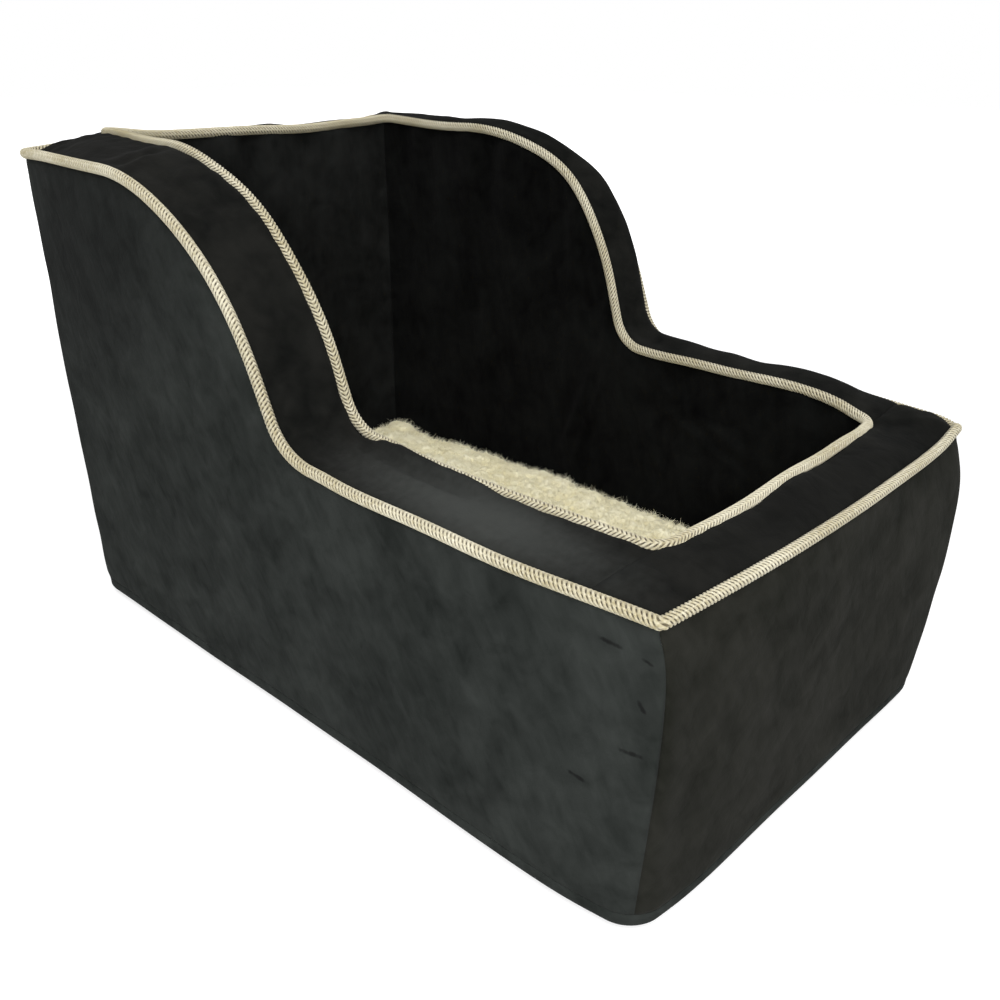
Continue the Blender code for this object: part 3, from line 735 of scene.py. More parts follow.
def make_cord(edge, layer, rise, slant, spine):
    """A loop of filled cord in a herringbone braid, meshed along its slanting yarns.

    slant is how many yarns a radian round the cord crosses, and spine is where they fold back,
    in degrees round the cord from its outer side.
    """
    line = np.array([[on_rim(station, layer, rise)] for station in ALL_ROUND + ALL_ROUND[:1]])
    ribs = round(lengths(line)[-1] / RIB_PITCH)
    line = settled(spread(line, ribs * RINGS_PER_RIB))[:-1, 0]
    tangent = np.roll(line, -1, axis=0) - np.roll(line, 1, axis=0)
    tangent /= np.linalg.norm(tangent, axis=1, keepdims=True)
    outward = np.cross(tangent, (0, 0, 1))
    outward /= np.linalg.norm(outward, axis=1, keepdims=True)
    upward = np.cross(outward, tangent)
    count = len(line)
    turn = np.linspace(-math.pi, math.pi, CORD_SIDES + 1)
    around = turn + math.radians(spine)
    along = np.arange(count + 1)[:, None] + slant * np.abs(turn) * RINGS_PER_RIB
    phase = (np.arange(count + 1)[:, None] / RINGS_PER_RIB) % 1
    groove = 1 - np.sqrt(np.maximum(1 - (2 * phase - 1) ** 2, 0))
    bridged = 1 - 0.5 * (0.5 + 0.5 * np.cos(GAP_ROWS * turn)) ** 2
    radius = CORD_RADIUS + BRAID_PROUD - BRAID_DEPTH * groove * bridged
    low = np.floor(along).astype(int)
    share = (along - low)[..., None]
    places = [
        each[low % count] * (1 - share) + each[(low + 1) % count] * share
        for each in (line, outward, upward)
    ]
    net = places[0] + radius[..., None] * (
        np.cos(around)[None, :, None] * places[1] + np.sin(around)[None, :, None] * places[2]
    )
    name = "piping_cord_" + edge
    mesh = grid_mesh(name, net, ring_along=True, ring_across=True)
    add_piece(name, mesh, braided_cord(ribs), nodes=["piping_" + edge])


OUTER_SPINE, INNER_SPINE = 100, 60
OUTER_SLANT, INNER_SLANT = 0.8, -1.1
BRAID_DEPTH = 0.0011
BRAID_PROUD = 0.0001
GAP_ROWS = 6
TIP_CORNER = 0.0015


# Pad

def edge_line(side, layer, z, count):
    """An edge of a layer's outline, from corner to corner, as evenly spaced points."""
    points = np.array([[at_level(station, layer, z)] for station in PANELS[side]])
    return spread(points, count)[:, 0]


def filled(net, rings):
    """The net with its inside, beyond the outer rings, filled by a patch between its four edges."""
    far_x, far_y = net.shape[0] - rings, net.shape[1] - rings
    low, high = net[rings:far_x, rings], net[rings:far_x, far_y - 1]
    left, right = net[rings, rings:far_y], net[far_x - 1, rings:far_y]
    u = np.linspace(0, 1, len(low))[:, None, None]
    v = np.linspace(0, 1, len(left))[None, :, None]
    patch = (1 - v) * low[:, None] + v * high[:, None] + (1 - u) * left[None] + u * right[None]
    patch -= (1 - u) * (1 - v) * low[0] + u * (1 - v) * low[-1]
    patch -= (1 - u) * v * high[0] + u * v * high[-1]
    net[rings:far_x, rings:far_y] = patch
    return net


def open_net(pitch, rings=0):
    """An empty net over the cabin's floor, with some more rings all round it."""
    columns = round((FRONT_WIDTH - 2 * SIDE_WALL) / pitch) + 2 * rings
    rows = round((SEAT_LENGTH - 2 * END_WALL) / pitch) + 2 * rings
    return np.zeros((columns + 1, rows + 1, 3))


def set_ring(net, ring, layer, z):
    """Lays one ring of a net, counted from its edge, along a layer's outline."""
    right, back = net.shape[0] - 1 - ring, net.shape[1] - 1 - ring
    net[ring:right + 1, ring] = edge_line("front", layer, z, right - ring)
    net[ring:right + 1, back] = edge_line("back", layer, z, right - ring)
    net[ring, ring:back + 1] = edge_line("right", layer, z, back - ring)
    net[right, ring:back + 1] = edge_line("left", layer, z, back - ring)


def flat_patch(layer, z, pitch):
    """A flat net that fills a layer's outline in the cabin."""
    net = open_net(pitch)
    set_ring(net, 0, layer, z)
    return filled(net, 0)


def pad_net(pitch):
    """The pad's cover as a net: up its swollen sides and over its crowned top."""
    low, foot = CORD_RADIUS + PAD_CLEARANCE + TUFT_HEIGHT / 2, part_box("pad_fleece")[0].z
    rings = round(PAD_SIDE / pitch)
    net = open_net(pitch, rings)
    for ring in range(rings + 1):
        turn = math.radians(-30 + 120 * ring / rings)
        inset = low + 1.1 * PILE * (1 - math.cos(turn))
        rise = 0.4 + (0.6 if turn > 0 else 0.8) * math.sin(turn)
        z = foot + (PAD_HEIGHT + LOFT - TUFT_HEIGHT) * rise
        set_ring(net, ring, cabin_layer(inset, PAD_DRAW), z)
    net = filled(net, rings)
    u, v = (
        np.clip((np.arange(count) - rings) / (count - 1 - 2 * rings), 0, 1)
        for count in net.shape[:2]
    )
    net[..., 2] += PAD_CROWN * (1 - (2 * u[:, None] - 1) ** 4) * (1 - (2 * v - 1) ** 4)
    return net


def billowed(net, pressure, most):
    """The net blown up by a cloth simulation, as a full cover is, with no spot moved past most."""
    mesh = grid_mesh("billow", net)
    close(mesh)
    body = new_object("billow", mesh)
    hem = body.vertex_groups.new(name="hem")
    columns, rows = net.shape[:2]
    edge = [
        j * columns + i for j in range(rows) for i in range(columns)
        if i in (0, columns - 1) or j in (0, rows - 1)
    ]
    hem.add(edge, 1.0, "REPLACE")
    sewn = body.modifiers.new("cloth", "CLOTH")
    sewn.settings.vertex_group_mass = "hem"
    sewn.settings.use_pressure = True
    sewn.settings.uniform_pressure_force = pressure
    sewn.settings.effector_weights.gravity = 0
    sewn.settings.tension_stiffness = BILLOW_STIFFNESS
    sewn.settings.compression_stiffness = BILLOW_STIFFNESS
    sewn.point_cache.frame_start, sewn.point_cache.frame_end = 1, BILLOW_FRAMES
    scene = bpy.context.scene
    for step in range(1, BILLOW_FRAMES + 1):
        scene.frame_set(step)
    blown = body.evaluated_get(bpy.context.evaluated_depsgraph_get()).data
    places = np.array([vert.co for vert in blown.vertices]).reshape(rows, columns, 3)
    bpy.data.objects.remove(body, do_unlink=True)
    scene.frame_set(1)
    moved = places.swapaxes(0, 1) - net
    far = np.linalg.norm(moved, axis=-1, keepdims=True)
    return net + moved * np.minimum(1, most / np.maximum(far, MERGE))


def finer(net, columns, rows):
    """A coarse net's values at a finer net's corners, by smooth curves along both ways."""
    for count in (columns, rows):
        old = np.arange(net.shape[0])
        new = np.linspace(0, old[-1], count)
        low = np.clip(new.astype(int), 0, old[-1] - 1)
        t = (new - low)[:, None, None]
        slope = np.gradient(net, axis=0)
        t2, t3 = t ** 2, t ** 3
        net = (
            net[low] * (2 * t3 - 3 * t2 + 1) + slope[low] * (t3 - 2 * t2 + t)
            + net[low + 1] * (3 * t2 - 2 * t3) + slope[low + 1] * (t3 - t2)
        ).swapaxes(0, 1)
    return net


def puff(place, size):
    """Rounded lumps of about that size, 1 at their tops and low in the soft partings between."""
    return min(2.0 * math.hypot(noise.noise(place / size), 0.12), 1)


def tufts(net):
    """How high the sherpa's clumps stand at each spot, from 0 in the partings to 1."""
    high = np.empty(net.shape[:-1])
    for spot in np.ndindex(high.shape):
        place = Vector(net[spot])
        curl = 1 - min(noise.voronoi(place / CURL_SIZE)[0][0] * 1.25, 1) ** 2
        billow = 0.5 + 0.5 * noise.noise(place / BILLOW_SIZE)
        lump = 0.6 * puff(place, TUFT_SIZE) + 0.4 * puff(place + Vector((1, 2, 3)), CLUMP_SIZE)
        high[spot] = 0.42 * billow + 0.40 * lump + 0.18 * curl
    return high


def kept_inside(points):
    """Points held inside the pad's outline, so that it lifts out past the cord."""
    layer = cabin_layer(CORD_RADIUS + PAD_CLEARANCE, PAD_DRAW)
    half = half_width(layer, points[:, 1])
    x = np.clip(points[:, 0], -half, half)
    points[:, 0] = x
    points[:, 1] = np.clip(points[:, 1], front_face(layer, x), back_face(layer, x))
    return points


def fibre_template():
    """One wool fibre, a unit long: three-sided, tapered and hooked over at the tip."""
    bm = bmesh.new()
    bmesh.ops.create_cone(bm, cap_ends=False, segments=3, radius1=0.030, radius2=0.010, depth=1)
    rising = [edge for edge in bm.edges if abs(edge.verts[0].co.z - edge.verts[1].co.z) > 0.5]
    bmesh.ops.subdivide_edges(bm, edges=rising, cuts=1)
    for vert in bm.verts:
        height = vert.co.z + 0.5
        vert.co.x += 0.75 * height ** 2
        vert.co.z = height - 0.40 * height ** 3
    bmesh.ops.triangulate(bm, faces=bm.faces)
    return mesh_of(bm, "fibre")


def make_fleece(fleece):
    """The pad's sherpa top: a foam-filled cover, with clumps of pile and loose fibres on it."""
    net = pad_net(PILE_PITCH)
    coarse = pad_net(BILLOW_PITCH)
    shift = billowed(coarse, BILLOW_PRESSURE, BILLOW_MOST) - coarse
    net = net + finer(shift, *net.shape[:2])
    square = normals(net)
    square *= np.sign(square[square.shape[0] // 2, square.shape[1] // 2, 2])
    high = tufts(net)
    rough = patches(net[..., 0] / 0.0016, net[..., 1] / 0.0016 + net[..., 2] / 0.0013, 8.8)
    high = high + 0.05 * rough
    i, j = (np.minimum(np.arange(count), np.arange(count)[::-1]) for count in net.shape[:2])
    border = np.clip(np.minimum(i[:, None], j) / BARE_RINGS, 0, 1)
    lift = TUFT_HEIGHT * high * border
    sway = np.stack([0.0009 * lumps(net, 0.006, seed) for seed in (1.1, 2.2, 3.3)], axis=-1)
    net = net + square * lift[..., None] + sway * border[..., None]
    net = kept_inside(net.reshape(-1, 3)).reshape(net.shape)

    mesh = grid_mesh("pad_sherpa_top", net)
    # The clumps' heights go to the material, which paints the low partings darker as painted shade.
    shade = mesh.attributes.new("pile", "FLOAT", "POINT")
    shade.data.foreach_set("value", high.swapaxes(0, 1).ravel())
    close(mesh)
    piece = add_piece("pad_sherpa_top", mesh, fleece, "pad", ["pad_fleece"])

    noise.seed_set(LOCK_SEED)
    template = fibre_template()
    for part in range(FIBRE_PIECES):
        make_fibres(f"pad_sherpa_fibres_{part + 1}", net, square, high, template, fleece, 31 + part)


def make_fibres(name, net, square, high, template, fleece, seed):
    """Loose wool on the pile: in each lock the fibres lean one way and stand out at the tips."""
    rng = random.Random(seed)
    reach = FIBRE_RING / PILE_PITCH
    places = []
    while len(places) < FIBRES:
        i = rng.uniform(reach, net.shape[0] - 1 - reach)
        j = rng.uniform(reach, net.shape[1] - 1 - reach)
        spot = (int(i), int(j))
        if high[spot] < rng.uniform(0.1, 0.8):
            continue
        out = Vector(square[spot])
        lock = noise.noise_vector(Vector(net[spot]) / LOCK_SIZE)
        stray = Vector((rng.gauss(0, 1), rng.gauss(0, 1), rng.gauss(0, 0.4)))
        up = (out + lock * 1.3 + stray * 0.3).normalized()
        side = up.cross(Vector((rng.gauss(0, 1), rng.gauss(0, 1), rng.gauss(0, 1)))).normalized()
        size = rng.uniform(*FIBRE_SIZES)
        shift = Vector((rng.uniform(-1, 1), rng.uniform(-1, 1), 0)) * PILE_PITCH / 2
        root = Vector(net[spot]) + shift - out * (size * 0.25)
        places.append(framed(root, side * size, up.cross(side) * size, up * size))
    mesh = copies(name, template, places)
    corners = np.array([vert.co for vert in mesh.vertices])
    mesh.vertices.foreach_set("co", kept_inside(corners).ravel())
    # Painted shade: each fibre is painted darker at its root than at its tip.
    shade = mesh.attributes.new("pile", "FLOAT", "POINT")
    tips = np.tile([vert.co.z for vert in template.vertices], FIBRES)
    shade.data.foreach_set("value", 0.5 + 0.6 * tips)
    add_piece(name, mesh, fleece, "pad")


def make_backing(backing):
    """The pad's plain woven underside, drawn in a little by the seam all round it."""
    low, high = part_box("pad_backing")
    net = flat_patch(cabin_layer(CORD_RADIUS + PAD_CLEARANCE, PAD_DRAW), high.z, BACKING_PITCH)
    edge = np.minimum(net[..., 0] - low.x, high.x - net[..., 0])
    edge = np.minimum(edge, np.minimum(net[..., 1] - low.y, high.y - net[..., 1]))
    net[..., 2] -= (high.z - low.z - CLOTH) * pillow(edge, 0.006) + 0.0004 * lumps(net, 0.04, 6.1)
    net[..., 2] = np.clip(net[..., 2], low.z + CLOTH, high.z)
    name = "pad_backing_cloth"
    add_sheet(name, facing(net, "up"), backing, ["pad_backing"], "pad")


def make_floor_lining(lining):
    """The cabin's floor: one panel of the lining, smoothed over the base foam."""
    net = flat_patch(cabin_layer(-CLOTH), FLOOR_TOP, CLOTH_PITCH * 2)
    net[..., :2] = settled(net)[..., :2]
    net[..., 2] += 0.0002 * lumps(net, 0.05, 3.3) - 0.0003
    add_sheet("cabin_lining_floor", facing(net, "up"), lining, ["lining_floor"])


PILE_PITCH = 0.0015
PAD_SIDE = 0.036
TUFT_HEIGHT = 0.0085
LOFT = 0.0080
TUFT_SIZE = 0.0150
CLUMP_SIZE = 0.0070
CURL_SIZE = 0.0036
BILLOW_SIZE = 0.0170
BILLOW_PITCH = 0.007
BILLOW_FRAMES = 20
BILLOW_MOST = 0.005
BILLOW_PRESSURE = 4.0
BILLOW_STIFFNESS = 25
BARE_RINGS = 4
FIBRES = 16000
FIBRE_PIECES = 3
FIBRE_SIZES = (0.0032, 0.0068)
LOCK_SIZE = 0.0060
FIBRE_RING = 0.009
LOCK_SEED = 5
BACKING_PITCH = 0.004


# Zip and belt loops

def capsule(name, length, width, height):
    """A small rounded bar along X, as a template: a stitch or a tooth."""
    bm = bmesh.new()
    bmesh.ops.create_cube(bm, size=1)
    bmesh.ops.scale(bm, vec=(length, width, height), verts=bm.verts)
    bmesh.ops.bevel(bm, geom=bm.edges, offset=min(width, height) * 0.34, segments=1,
                    profile=0.5, affect="EDGES", material=-1)
    return mesh_of(bm, name)


def make_zip_tape(finish):
    """The zip's woven tape across the back."""
    low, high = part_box("zip_tape")[0].z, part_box("zip_tape")[1].z
    heights = [low + (high - low) * step / 12 for step in range(13)]
    rails = [
        [at_level(station, outer_layer(0, AT_GROUND), z) for z in heights]
        for station in PANELS["back"]
    ]
    net = settled(facing(finely(rails, TAPE_PITCH), "out"))
    add_sheet("zip_woven_tape", net, finish, ["zip_tape"])


def make_coil(finish):
    """The closed coil: two rows of nylon turns, each turn of one between two of the other."""
    low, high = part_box("zip_chain")
    middle = (low + high) / 2
    count = round((high.x - low.x) / COIL_PITCH)
    reach = (high.z - low.z) * 0.62
    turn = capsule("coil_turn", reach, COIL_PITCH * 0.46, (high.y - low.y))
    places = []
    for step in range(2 * count - 1):
        x = low.x + COIL_PITCH * (0.5 + step / 2)
        side = 1 if step % 2 else -1
        z = middle.z + side * (high.z - low.z - reach) / 2
        lean = Vector((0.12 * side, 0, 1)).normalized()
        across = Vector((0, 1, 0))
        places.append(framed((x, middle.y, z), lean, lean.cross(across), across))
    mesh = copies("zip_coil", turn, places)
    add_piece("zip_coil", mesh, finish, nodes=["zip_chain"])


def drawn_out(name, outline, way, round_edge):
    """A plate with rounded edges: a flat outline drawn out along a way."""
    bm = bmesh.new()
    face = bmesh.ops.contextual_create(bm, geom=[bm.verts.new(point) for point in outline])
    drawn = bmesh.ops.extrude_face_region(bm, geom=face["faces"])
    top = [item for item in drawn["geom"] if isinstance(item, bmesh.types.BMVert)]
    bmesh.ops.translate(bm, verts=top, vec=way)
    bmesh.ops.recalc_face_normals(bm, faces=bm.faces)
    sharp = [edge for edge in bm.edges if edge.calc_face_angle(0) > math.radians(35)]
    bmesh.ops.bevel(bm, geom=sharp, offset=round_edge, segments=3, profile=0.5,
                    affect="EDGES", material=-1, clamp_overlap=True)
    return mesh_of(bm, name)


def joined(name, meshes):
    bm = bmesh.new()
    for mesh in meshes:
        bm.from_mesh(mesh)
    return mesh_of(bm, name)


def make_slider(finish):
    """The slider: a saddle over the coil, and on it the bridge that the pull hangs from."""
    low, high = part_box("zip_slider")
    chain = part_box("zip_chain")
    middle_x, back = (low.x + high.x) / 2, low.y
    outer = (high.z - low.z) / 2
    ceiling, plate = chain[1].y + SEAM_CLEARANCE, chain[1].y + SEAM_CLEARANCE + SLIDER_WALL
    inner = outer - SLIDER_WALL
    saddle = [
        (back, -outer), (plate, -outer), (plate, outer), (back, outer),
        (back, inner), (ceiling, inner), (ceiling, -inner), (back, -inner),
    ]
    zip_z = (low.z + high.z) / 2
    saddle = [(low.x, y, zip_z + z) for y, z in saddle]
    body = drawn_out("saddle", saddle, (high.x - low.x, 0, 0), SADDLE_EDGE)
    end = (high.x - low.x) / 2
    leg = end - BRIDGE_BAR
    foot = plate - SLIDER_WALL / 2
    arch = [
        (-end, foot), (-end, high.y), (end, high.y), (end, foot),
        (leg, foot), (leg, high.y - BRIDGE_BAR), (-leg, high.y - BRIDGE_BAR), (-leg, foot),
    ]
    arch = [(middle_x + x, y, zip_z - BRIDGE_BAR / 2) for x, y in arch]
    bridge = drawn_out("bridge", arch, (0, 0, BRIDGE_BAR), BRIDGE_EDGE)
    mesh = joined("zip_slider_body", [body, bridge])
    add_piece("zip_slider_body", mesh, finish, "slider", ["zip_slider"])


def make_pull(finish):
    """The pull: a flat tongue with a round end, rolled into an eye round the slider's bridge."""
    low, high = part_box("zip_pull")
    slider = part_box("zip_slider")
    hinge_z = (slider[0].z + slider[1].z) / 2
    hinge_y = slider[1].y - BRIDGE_BAR / 2
    middle, half = (low.x + high.x) / 2, (high.x - low.x) / 2
    turns = [math.radians(-180 + 15 * step) for step in range(13)]
    waist = half * 0.72
    tongue = [(middle + half * math.cos(t), low.z + half + half * math.sin(t)) for t in turns]
    tongue += [(middle + waist, hinge_z - WAIST_DROP), (middle + half, hinge_z - EYE_OUTSIDE)]
    tongue += [(middle - half, hinge_z - EYE_OUTSIDE), (middle - waist, hinge_z - WAIST_DROP)]
    tongue = [(x, hinge_y - TONGUE / 2, z) for x, z in tongue]
    plate = drawn_out("tongue", tongue, (0, TONGUE, 0), TONGUE_EDGE)

    bm = bmesh.new()
    bmesh.ops.create_circle(bm, segments=24, radius=EYE_OUTSIDE)
    drawn = bmesh.ops.extrude_edge_only(bm, edges=bm.edges[:])
    top = [item for item in drawn["geom"] if isinstance(item, bmesh.types.BMVert)]
    bmesh.ops.translate(bm, verts=top, vec=(0, 0, high.x - low.x))
    bmesh.ops.recalc_face_normals(bm, faces=bm.faces)
    bmesh.ops.solidify(bm, geom=bm.faces[:], thickness=EYE_WALL)
    turn = Matrix.Rotation(math.radians(90), 4, "Y")
    place = Matrix.Translation((low.x, hinge_y, hinge_z)) @ turn
    bmesh.ops.transform(bm, matrix=place, verts=bm.verts)
    bmesh.ops.recalc_face_normals(bm, faces=bm.faces)
    mesh = joined("zip_puller", [plate, mesh_of(bm, "eye")])
    add_piece("zip_puller", mesh, finish, "pull", ["zip_pull"])


def seam_stitches(line):
    """Places for a row of stitches along a line on the seat's back."""
    line = np.array(line, dtype=float)[:, None]
    count = max(round(lengths(line)[-1] / STITCH_PITCH), 1)
    points = spread(line, count)[:, 0]
    places = []
    for start, end in zip(points, points[1:]):
        along = Vector(end - start).normalized()
        out = Vector((0, 1, 0))
        middle = Vector((start + end) / 2)
        size = min(STITCH_PITCH, (Vector(end) - Vector(start)).length * 0.8)
        places.append(framed(middle, along * size, along.cross(out) * THREAD, out * THREAD))
    return places


def make_zip_stitches(finish):
    """Two rows of stitches that sew the tape under the panel's and the hem's folded edges."""
    low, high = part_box("zip_tape")
    along = np.linspace(low.x + ROW_END, high.x - ROW_END, ROW_POINTS)
    places = []
    for z in (low.z - STITCH_INSET, high.z + STITCH_INSET):
        line = np.array([(x, BACK_Y + 1.5 * THREAD, z) for x in along])
        places += seam_stitches(settled(line))
    mesh = copies("zip_stitches", capsule("stitch", 1, 1, 1), places)
    add_piece("zip_stitches", mesh, finish)


def make_belt_loop(side, finish, thread):
    """A webbing strip, sewn flat at both ends with a crossed box of stitches."""
    node = "belt_loop_" + side
    low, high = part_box(node)
    sewn = low.y + WEBBING
    bends = (0, LOOP_SEWN_END, LOOP_SEWN_END + LOOP_SLOPE)
    heights = [low.z + bend for bend in bends] + [high.z - bend for bend in bends[::-1]]
    depths = (sewn, sewn, high.y, high.y, sewn, sewn)
    rails = [[(x, y, z) for y, z in zip(depths, heights)] for x in (low.x, high.x)]
    net = finely(rails, WEBBING_PITCH)
    for _ in range(3):
        net[:, 1:-1, 1] = (net[:, :-2, 1] + net[:, 1:-1, 1] * 2 + net[:, 2:, 1]) / 4
    name = "webbing_" + node
    add_sheet(name, facing(net, "out"), finish, [node], thickness=WEBBING)

    places = []
    left, right = low.x + STITCH_BOX, high.x - STITCH_BOX
    for bottom in (low.z + STITCH_BOX, high.z - LOOP_SEWN_END + STITCH_BOX / 2):
        top = bottom + LOOP_SEWN_END - STITCH_BOX * 1.5
        corners = [(left, bottom), (right, bottom), (right, top), (left, top), (left, bottom)]
        lines = [corners, [(left, bottom), (right, top)], [(right, bottom), (left, top)]]
        for line in lines:
            for start, end in zip(line, line[1:]):
                ends = [(x, sewn + THREAD * 0.15, z) for x, z in (start, end)]
                places += seam_stitches(ends)
    name = "box_stitches_" + side
    mesh = copies(name, capsule("stitch", 1, 1, 1), places)
    add_piece(name, mesh, thread)


TAPE_PITCH = 0.0018
COIL_PITCH = 0.0015
SEAM_CLEARANCE = 0.0003
SLIDER_WALL = 0.0012
BRIDGE_BAR = 0.0010
EYE_OUTSIDE = 0.0017
EYE_WALL = 0.0007
TONGUE = 0.0009
WAIST_DROP = 0.011
SADDLE_EDGE = 0.00035
BRIDGE_EDGE = 0.00025
TONGUE_EDGE = 0.0002
THREAD = 0.0006
STITCH_PITCH = 0.0032
STITCH_INSET = 0.0020
ROW_END = 0.006
ROW_POINTS = 90
WEBBING = 0.0016
WEBBING_PITCH = 0.0016
LOOP_SEWN_END = 0.020
LOOP_SLOPE = 0.012
STITCH_BOX = 0.003


# Materials

def linear(code):
    """An sRGB colour such as "1F2022" as linear red, green, blue and alpha."""
    values = [int(code[i:i + 2], 16) / 255 for i in (0, 2, 4)]
    return (*[v / 12.92 if v <= 0.04045 else ((v + 0.055) / 1.055) ** 2.4 for v in values], 1)


def feed(node, inputs):
    """Gives each input a value, or links it to a socket or to another node's first output."""
    for key, value in inputs.items():
        if isinstance(value, bpy.types.Node):
            value = value.outputs[0]
        if isinstance(value, bpy.types.NodeSocket):
            node.id_data.links.new(value, node.inputs[key])
        else:
            node.inputs[key].default_value = value


def add(tree, kind, inputs=None, **settings):
    """Adds a node with its settings and with what feeds its inputs."""
    made = tree.nodes.new("ShaderNode" + kind)
    for key, value in settings.items():
        setattr(made, key, value)
    feed(made, inputs or {})
    return made


def new_material(name):
    made = bpy.data.materials.new(name)
    made.use_nodes = True
    return made, made.node_tree, made.node_tree.nodes["Principled BSDF"]


def microsuede(name, dark, light, comb, marks=()):
    """Brushed polyester microsuede: a dull short nap, clouded where hands have turned it.

    The nap is combed along one slant. The marks are short scuffs and broad fields of painted shade
    and painted highlight; each gives its middle, its slope in the YZ plane, its reach each way, how
    torn its edge is, its strength and its colour.
    """
    made, tree, shader = new_material(name)
    where = add(tree, "TexCoord").outputs["Object"]
    turned = add(tree, "Mapping", {"Vector": where, "Rotation": comb})
    drawn = add(tree, "Mapping", {"Vector": turned, "Scale": (1, 1, 0.25)})
    total = None
    for vector, size, swirl, low, high, weight in (
        (where, 0.060, 1.0, 0.36, 0.64, 0.40),
        (where, 0.014, 0.6, 0.28, 0.72, 0.42),
        (drawn, 0.005, 0.3, 0.28, 0.72, 0.22),
    ):
        cloud = add(tree, "TexNoise", {
            "Vector": vector, "Scale": 1 / size, "Detail": 3, "Distortion": swirl,
        })
        share = add(tree, "MapRange", {
            "Value": cloud.outputs["Fac"], "From Min": low, "From Max": high, "To Max": weight,
        })
        total = share if total is None else add(tree, "Math", {0: total, 1: share})
    level = add(tree, "MapRange", {"Value": total, "From Min": 0.12, "From Max": 0.92})
    nap = add(tree, "Mix", {0: level, 6: linear(dark), 7: linear(light)}, data_type="RGBA")
    nap = nap.outputs[2]
    ragged = add(tree, "TexNoise", {"Vector": where, "Scale": 1 / 0.004, "Detail": 3})
    # Each mark blends its colour in: the short scuffs are real, the broad fields are painted shade
    # and painted highlight.
    for spot, slope, reach, tear, strength, code in marks:
        turned = add(tree, "Mapping", {
            "Vector": where, "Location": spot, "Rotation": (slope, 0, 0), "Scale": reach,
        }, vector_type="TEXTURE")
        away = add(tree, "VectorMath", {0: turned}, operation="LENGTH")
        torn = add(tree, "Math", {
            0: ragged.outputs["Fac"], 1: tear, 2: away.outputs["Value"],
        }, operation="MULTIPLY_ADD")
        scuff_and_painted_light = add(tree, "MapRange", {
            "Value": torn, "From Min": 0.7 * tear, "From Max": 0.5 * tear + 1,
            "To Min": strength, "To Max": 0.0,
        }, interpolation_type="SMOOTHSTEP")
        nap = add(tree, "Mix", {0: scuff_and_painted_light, 6: nap, 7: linear(code)}, data_type="RGBA").outputs[2]
    grain = add(tree, "TexNoise", {"Vector": where, "Scale": 1 / 0.0011, "Detail": 2})
    bump = add(tree, "Bump", {"Height": grain.outputs["Fac"], "Strength": 0.35, "Distance": 0.0004})
    nap_bump = add(tree, "Bump", {
        "Height": total, "Strength": 0.5, "Distance": 0.0015, "Normal": bump,
    })
    feed(shader, {
        "Base Color": nap, "Normal": nap_bump, "Roughness": 1.0, "Specular IOR Level": 0.03,
        "Sheen Weight": 0.012, "Sheen Roughness": 0.6,
    })
    return made


def braided_cord(ribs):
    """Cotton braid: each yarn is pale along its back, with painted brown shade in the gaps between.
    """
    made, tree, shader = new_material("braided_cotton_cord")
    spot = add(tree, "SeparateXYZ", {0: add(tree, "UVMap", uv_map="net")})
    yarns = add(tree, "Math", {0: spot.outputs["X"], 1: ribs * 2 * math.pi}, operation="MULTIPLY")
    between = add(tree, "Math", {0: yarns}, operation="COSINE")
    gap = add(tree, "MapRange", {
        "Value": between, "From Min": -0.05, "From Max": 0.80,
    }, interpolation_type="SMOOTHSTEP")
    row = add(tree, "Math", {0: spot.outputs["Y"], 1: GAP_ROWS * 2 * math.pi}, operation="MULTIPLY")
    bridge = add(tree, "Math", {0: row}, operation="COSINE")
    broken = add(tree, "MapRange", {
        "Value": bridge, "From Min": -0.2, "From Max": 1.0, "To Min": 1.0, "To Max": 0.25,
    })
    where = add(tree, "TexCoord").outputs["Object"]
    wear = add(tree, "TexNoise", {"Vector": where, "Scale": 1 / 0.0016, "Detail": 2})
    wear = wear.outputs["Fac"]
    drift = add(tree, "TexNoise", {"Vector": where, "Scale": 1 / 0.05, "Detail": 1})
    depth = add(tree, "Math", {0: gap, 1: broken}, operation="MULTIPLY")
    uneven_gap_shade = add(tree, "MapRange", {
        "Value": wear, "From Min": 0.3, "From Max": 0.6, "To Min": 0.6, "To Max": 1.0,
    })
    shade = add(tree, "Math", {0: depth, 1: uneven_gap_shade}, operation="MULTIPLY")
    mixed = add(tree, "Math", {0: wear, 1: drift.outputs["Fac"]}, operation="ADD")
    level = add(tree, "MapRange", {"Value": mixed, "From Min": 0.7, "From Max": 1.25})
    yarn = add(tree, "Mix", {0: level, 6: linear("A29878"), 7: linear("CCC6B0")}, data_type="RGBA")
    # Painted shade: the gaps between the yarns are painted dark brown, unevenly, over the cord's
    # grooves.
    tone = add(tree, "Mix", {
        0: shade, 6: yarn.outputs[2], 7: linear("2E2317"),
    }, data_type="RGBA")
    feed(shader, {
        "Base Color": tone.outputs[2],
        "Normal": add(tree, "Bump", {"Height": wear, "Strength": 0.4, "Distance": 0.0003}),
        "Roughness": 0.8, "Specular IOR Level": 0.25, "Sheen Weight": 0.1,
    })
    return made


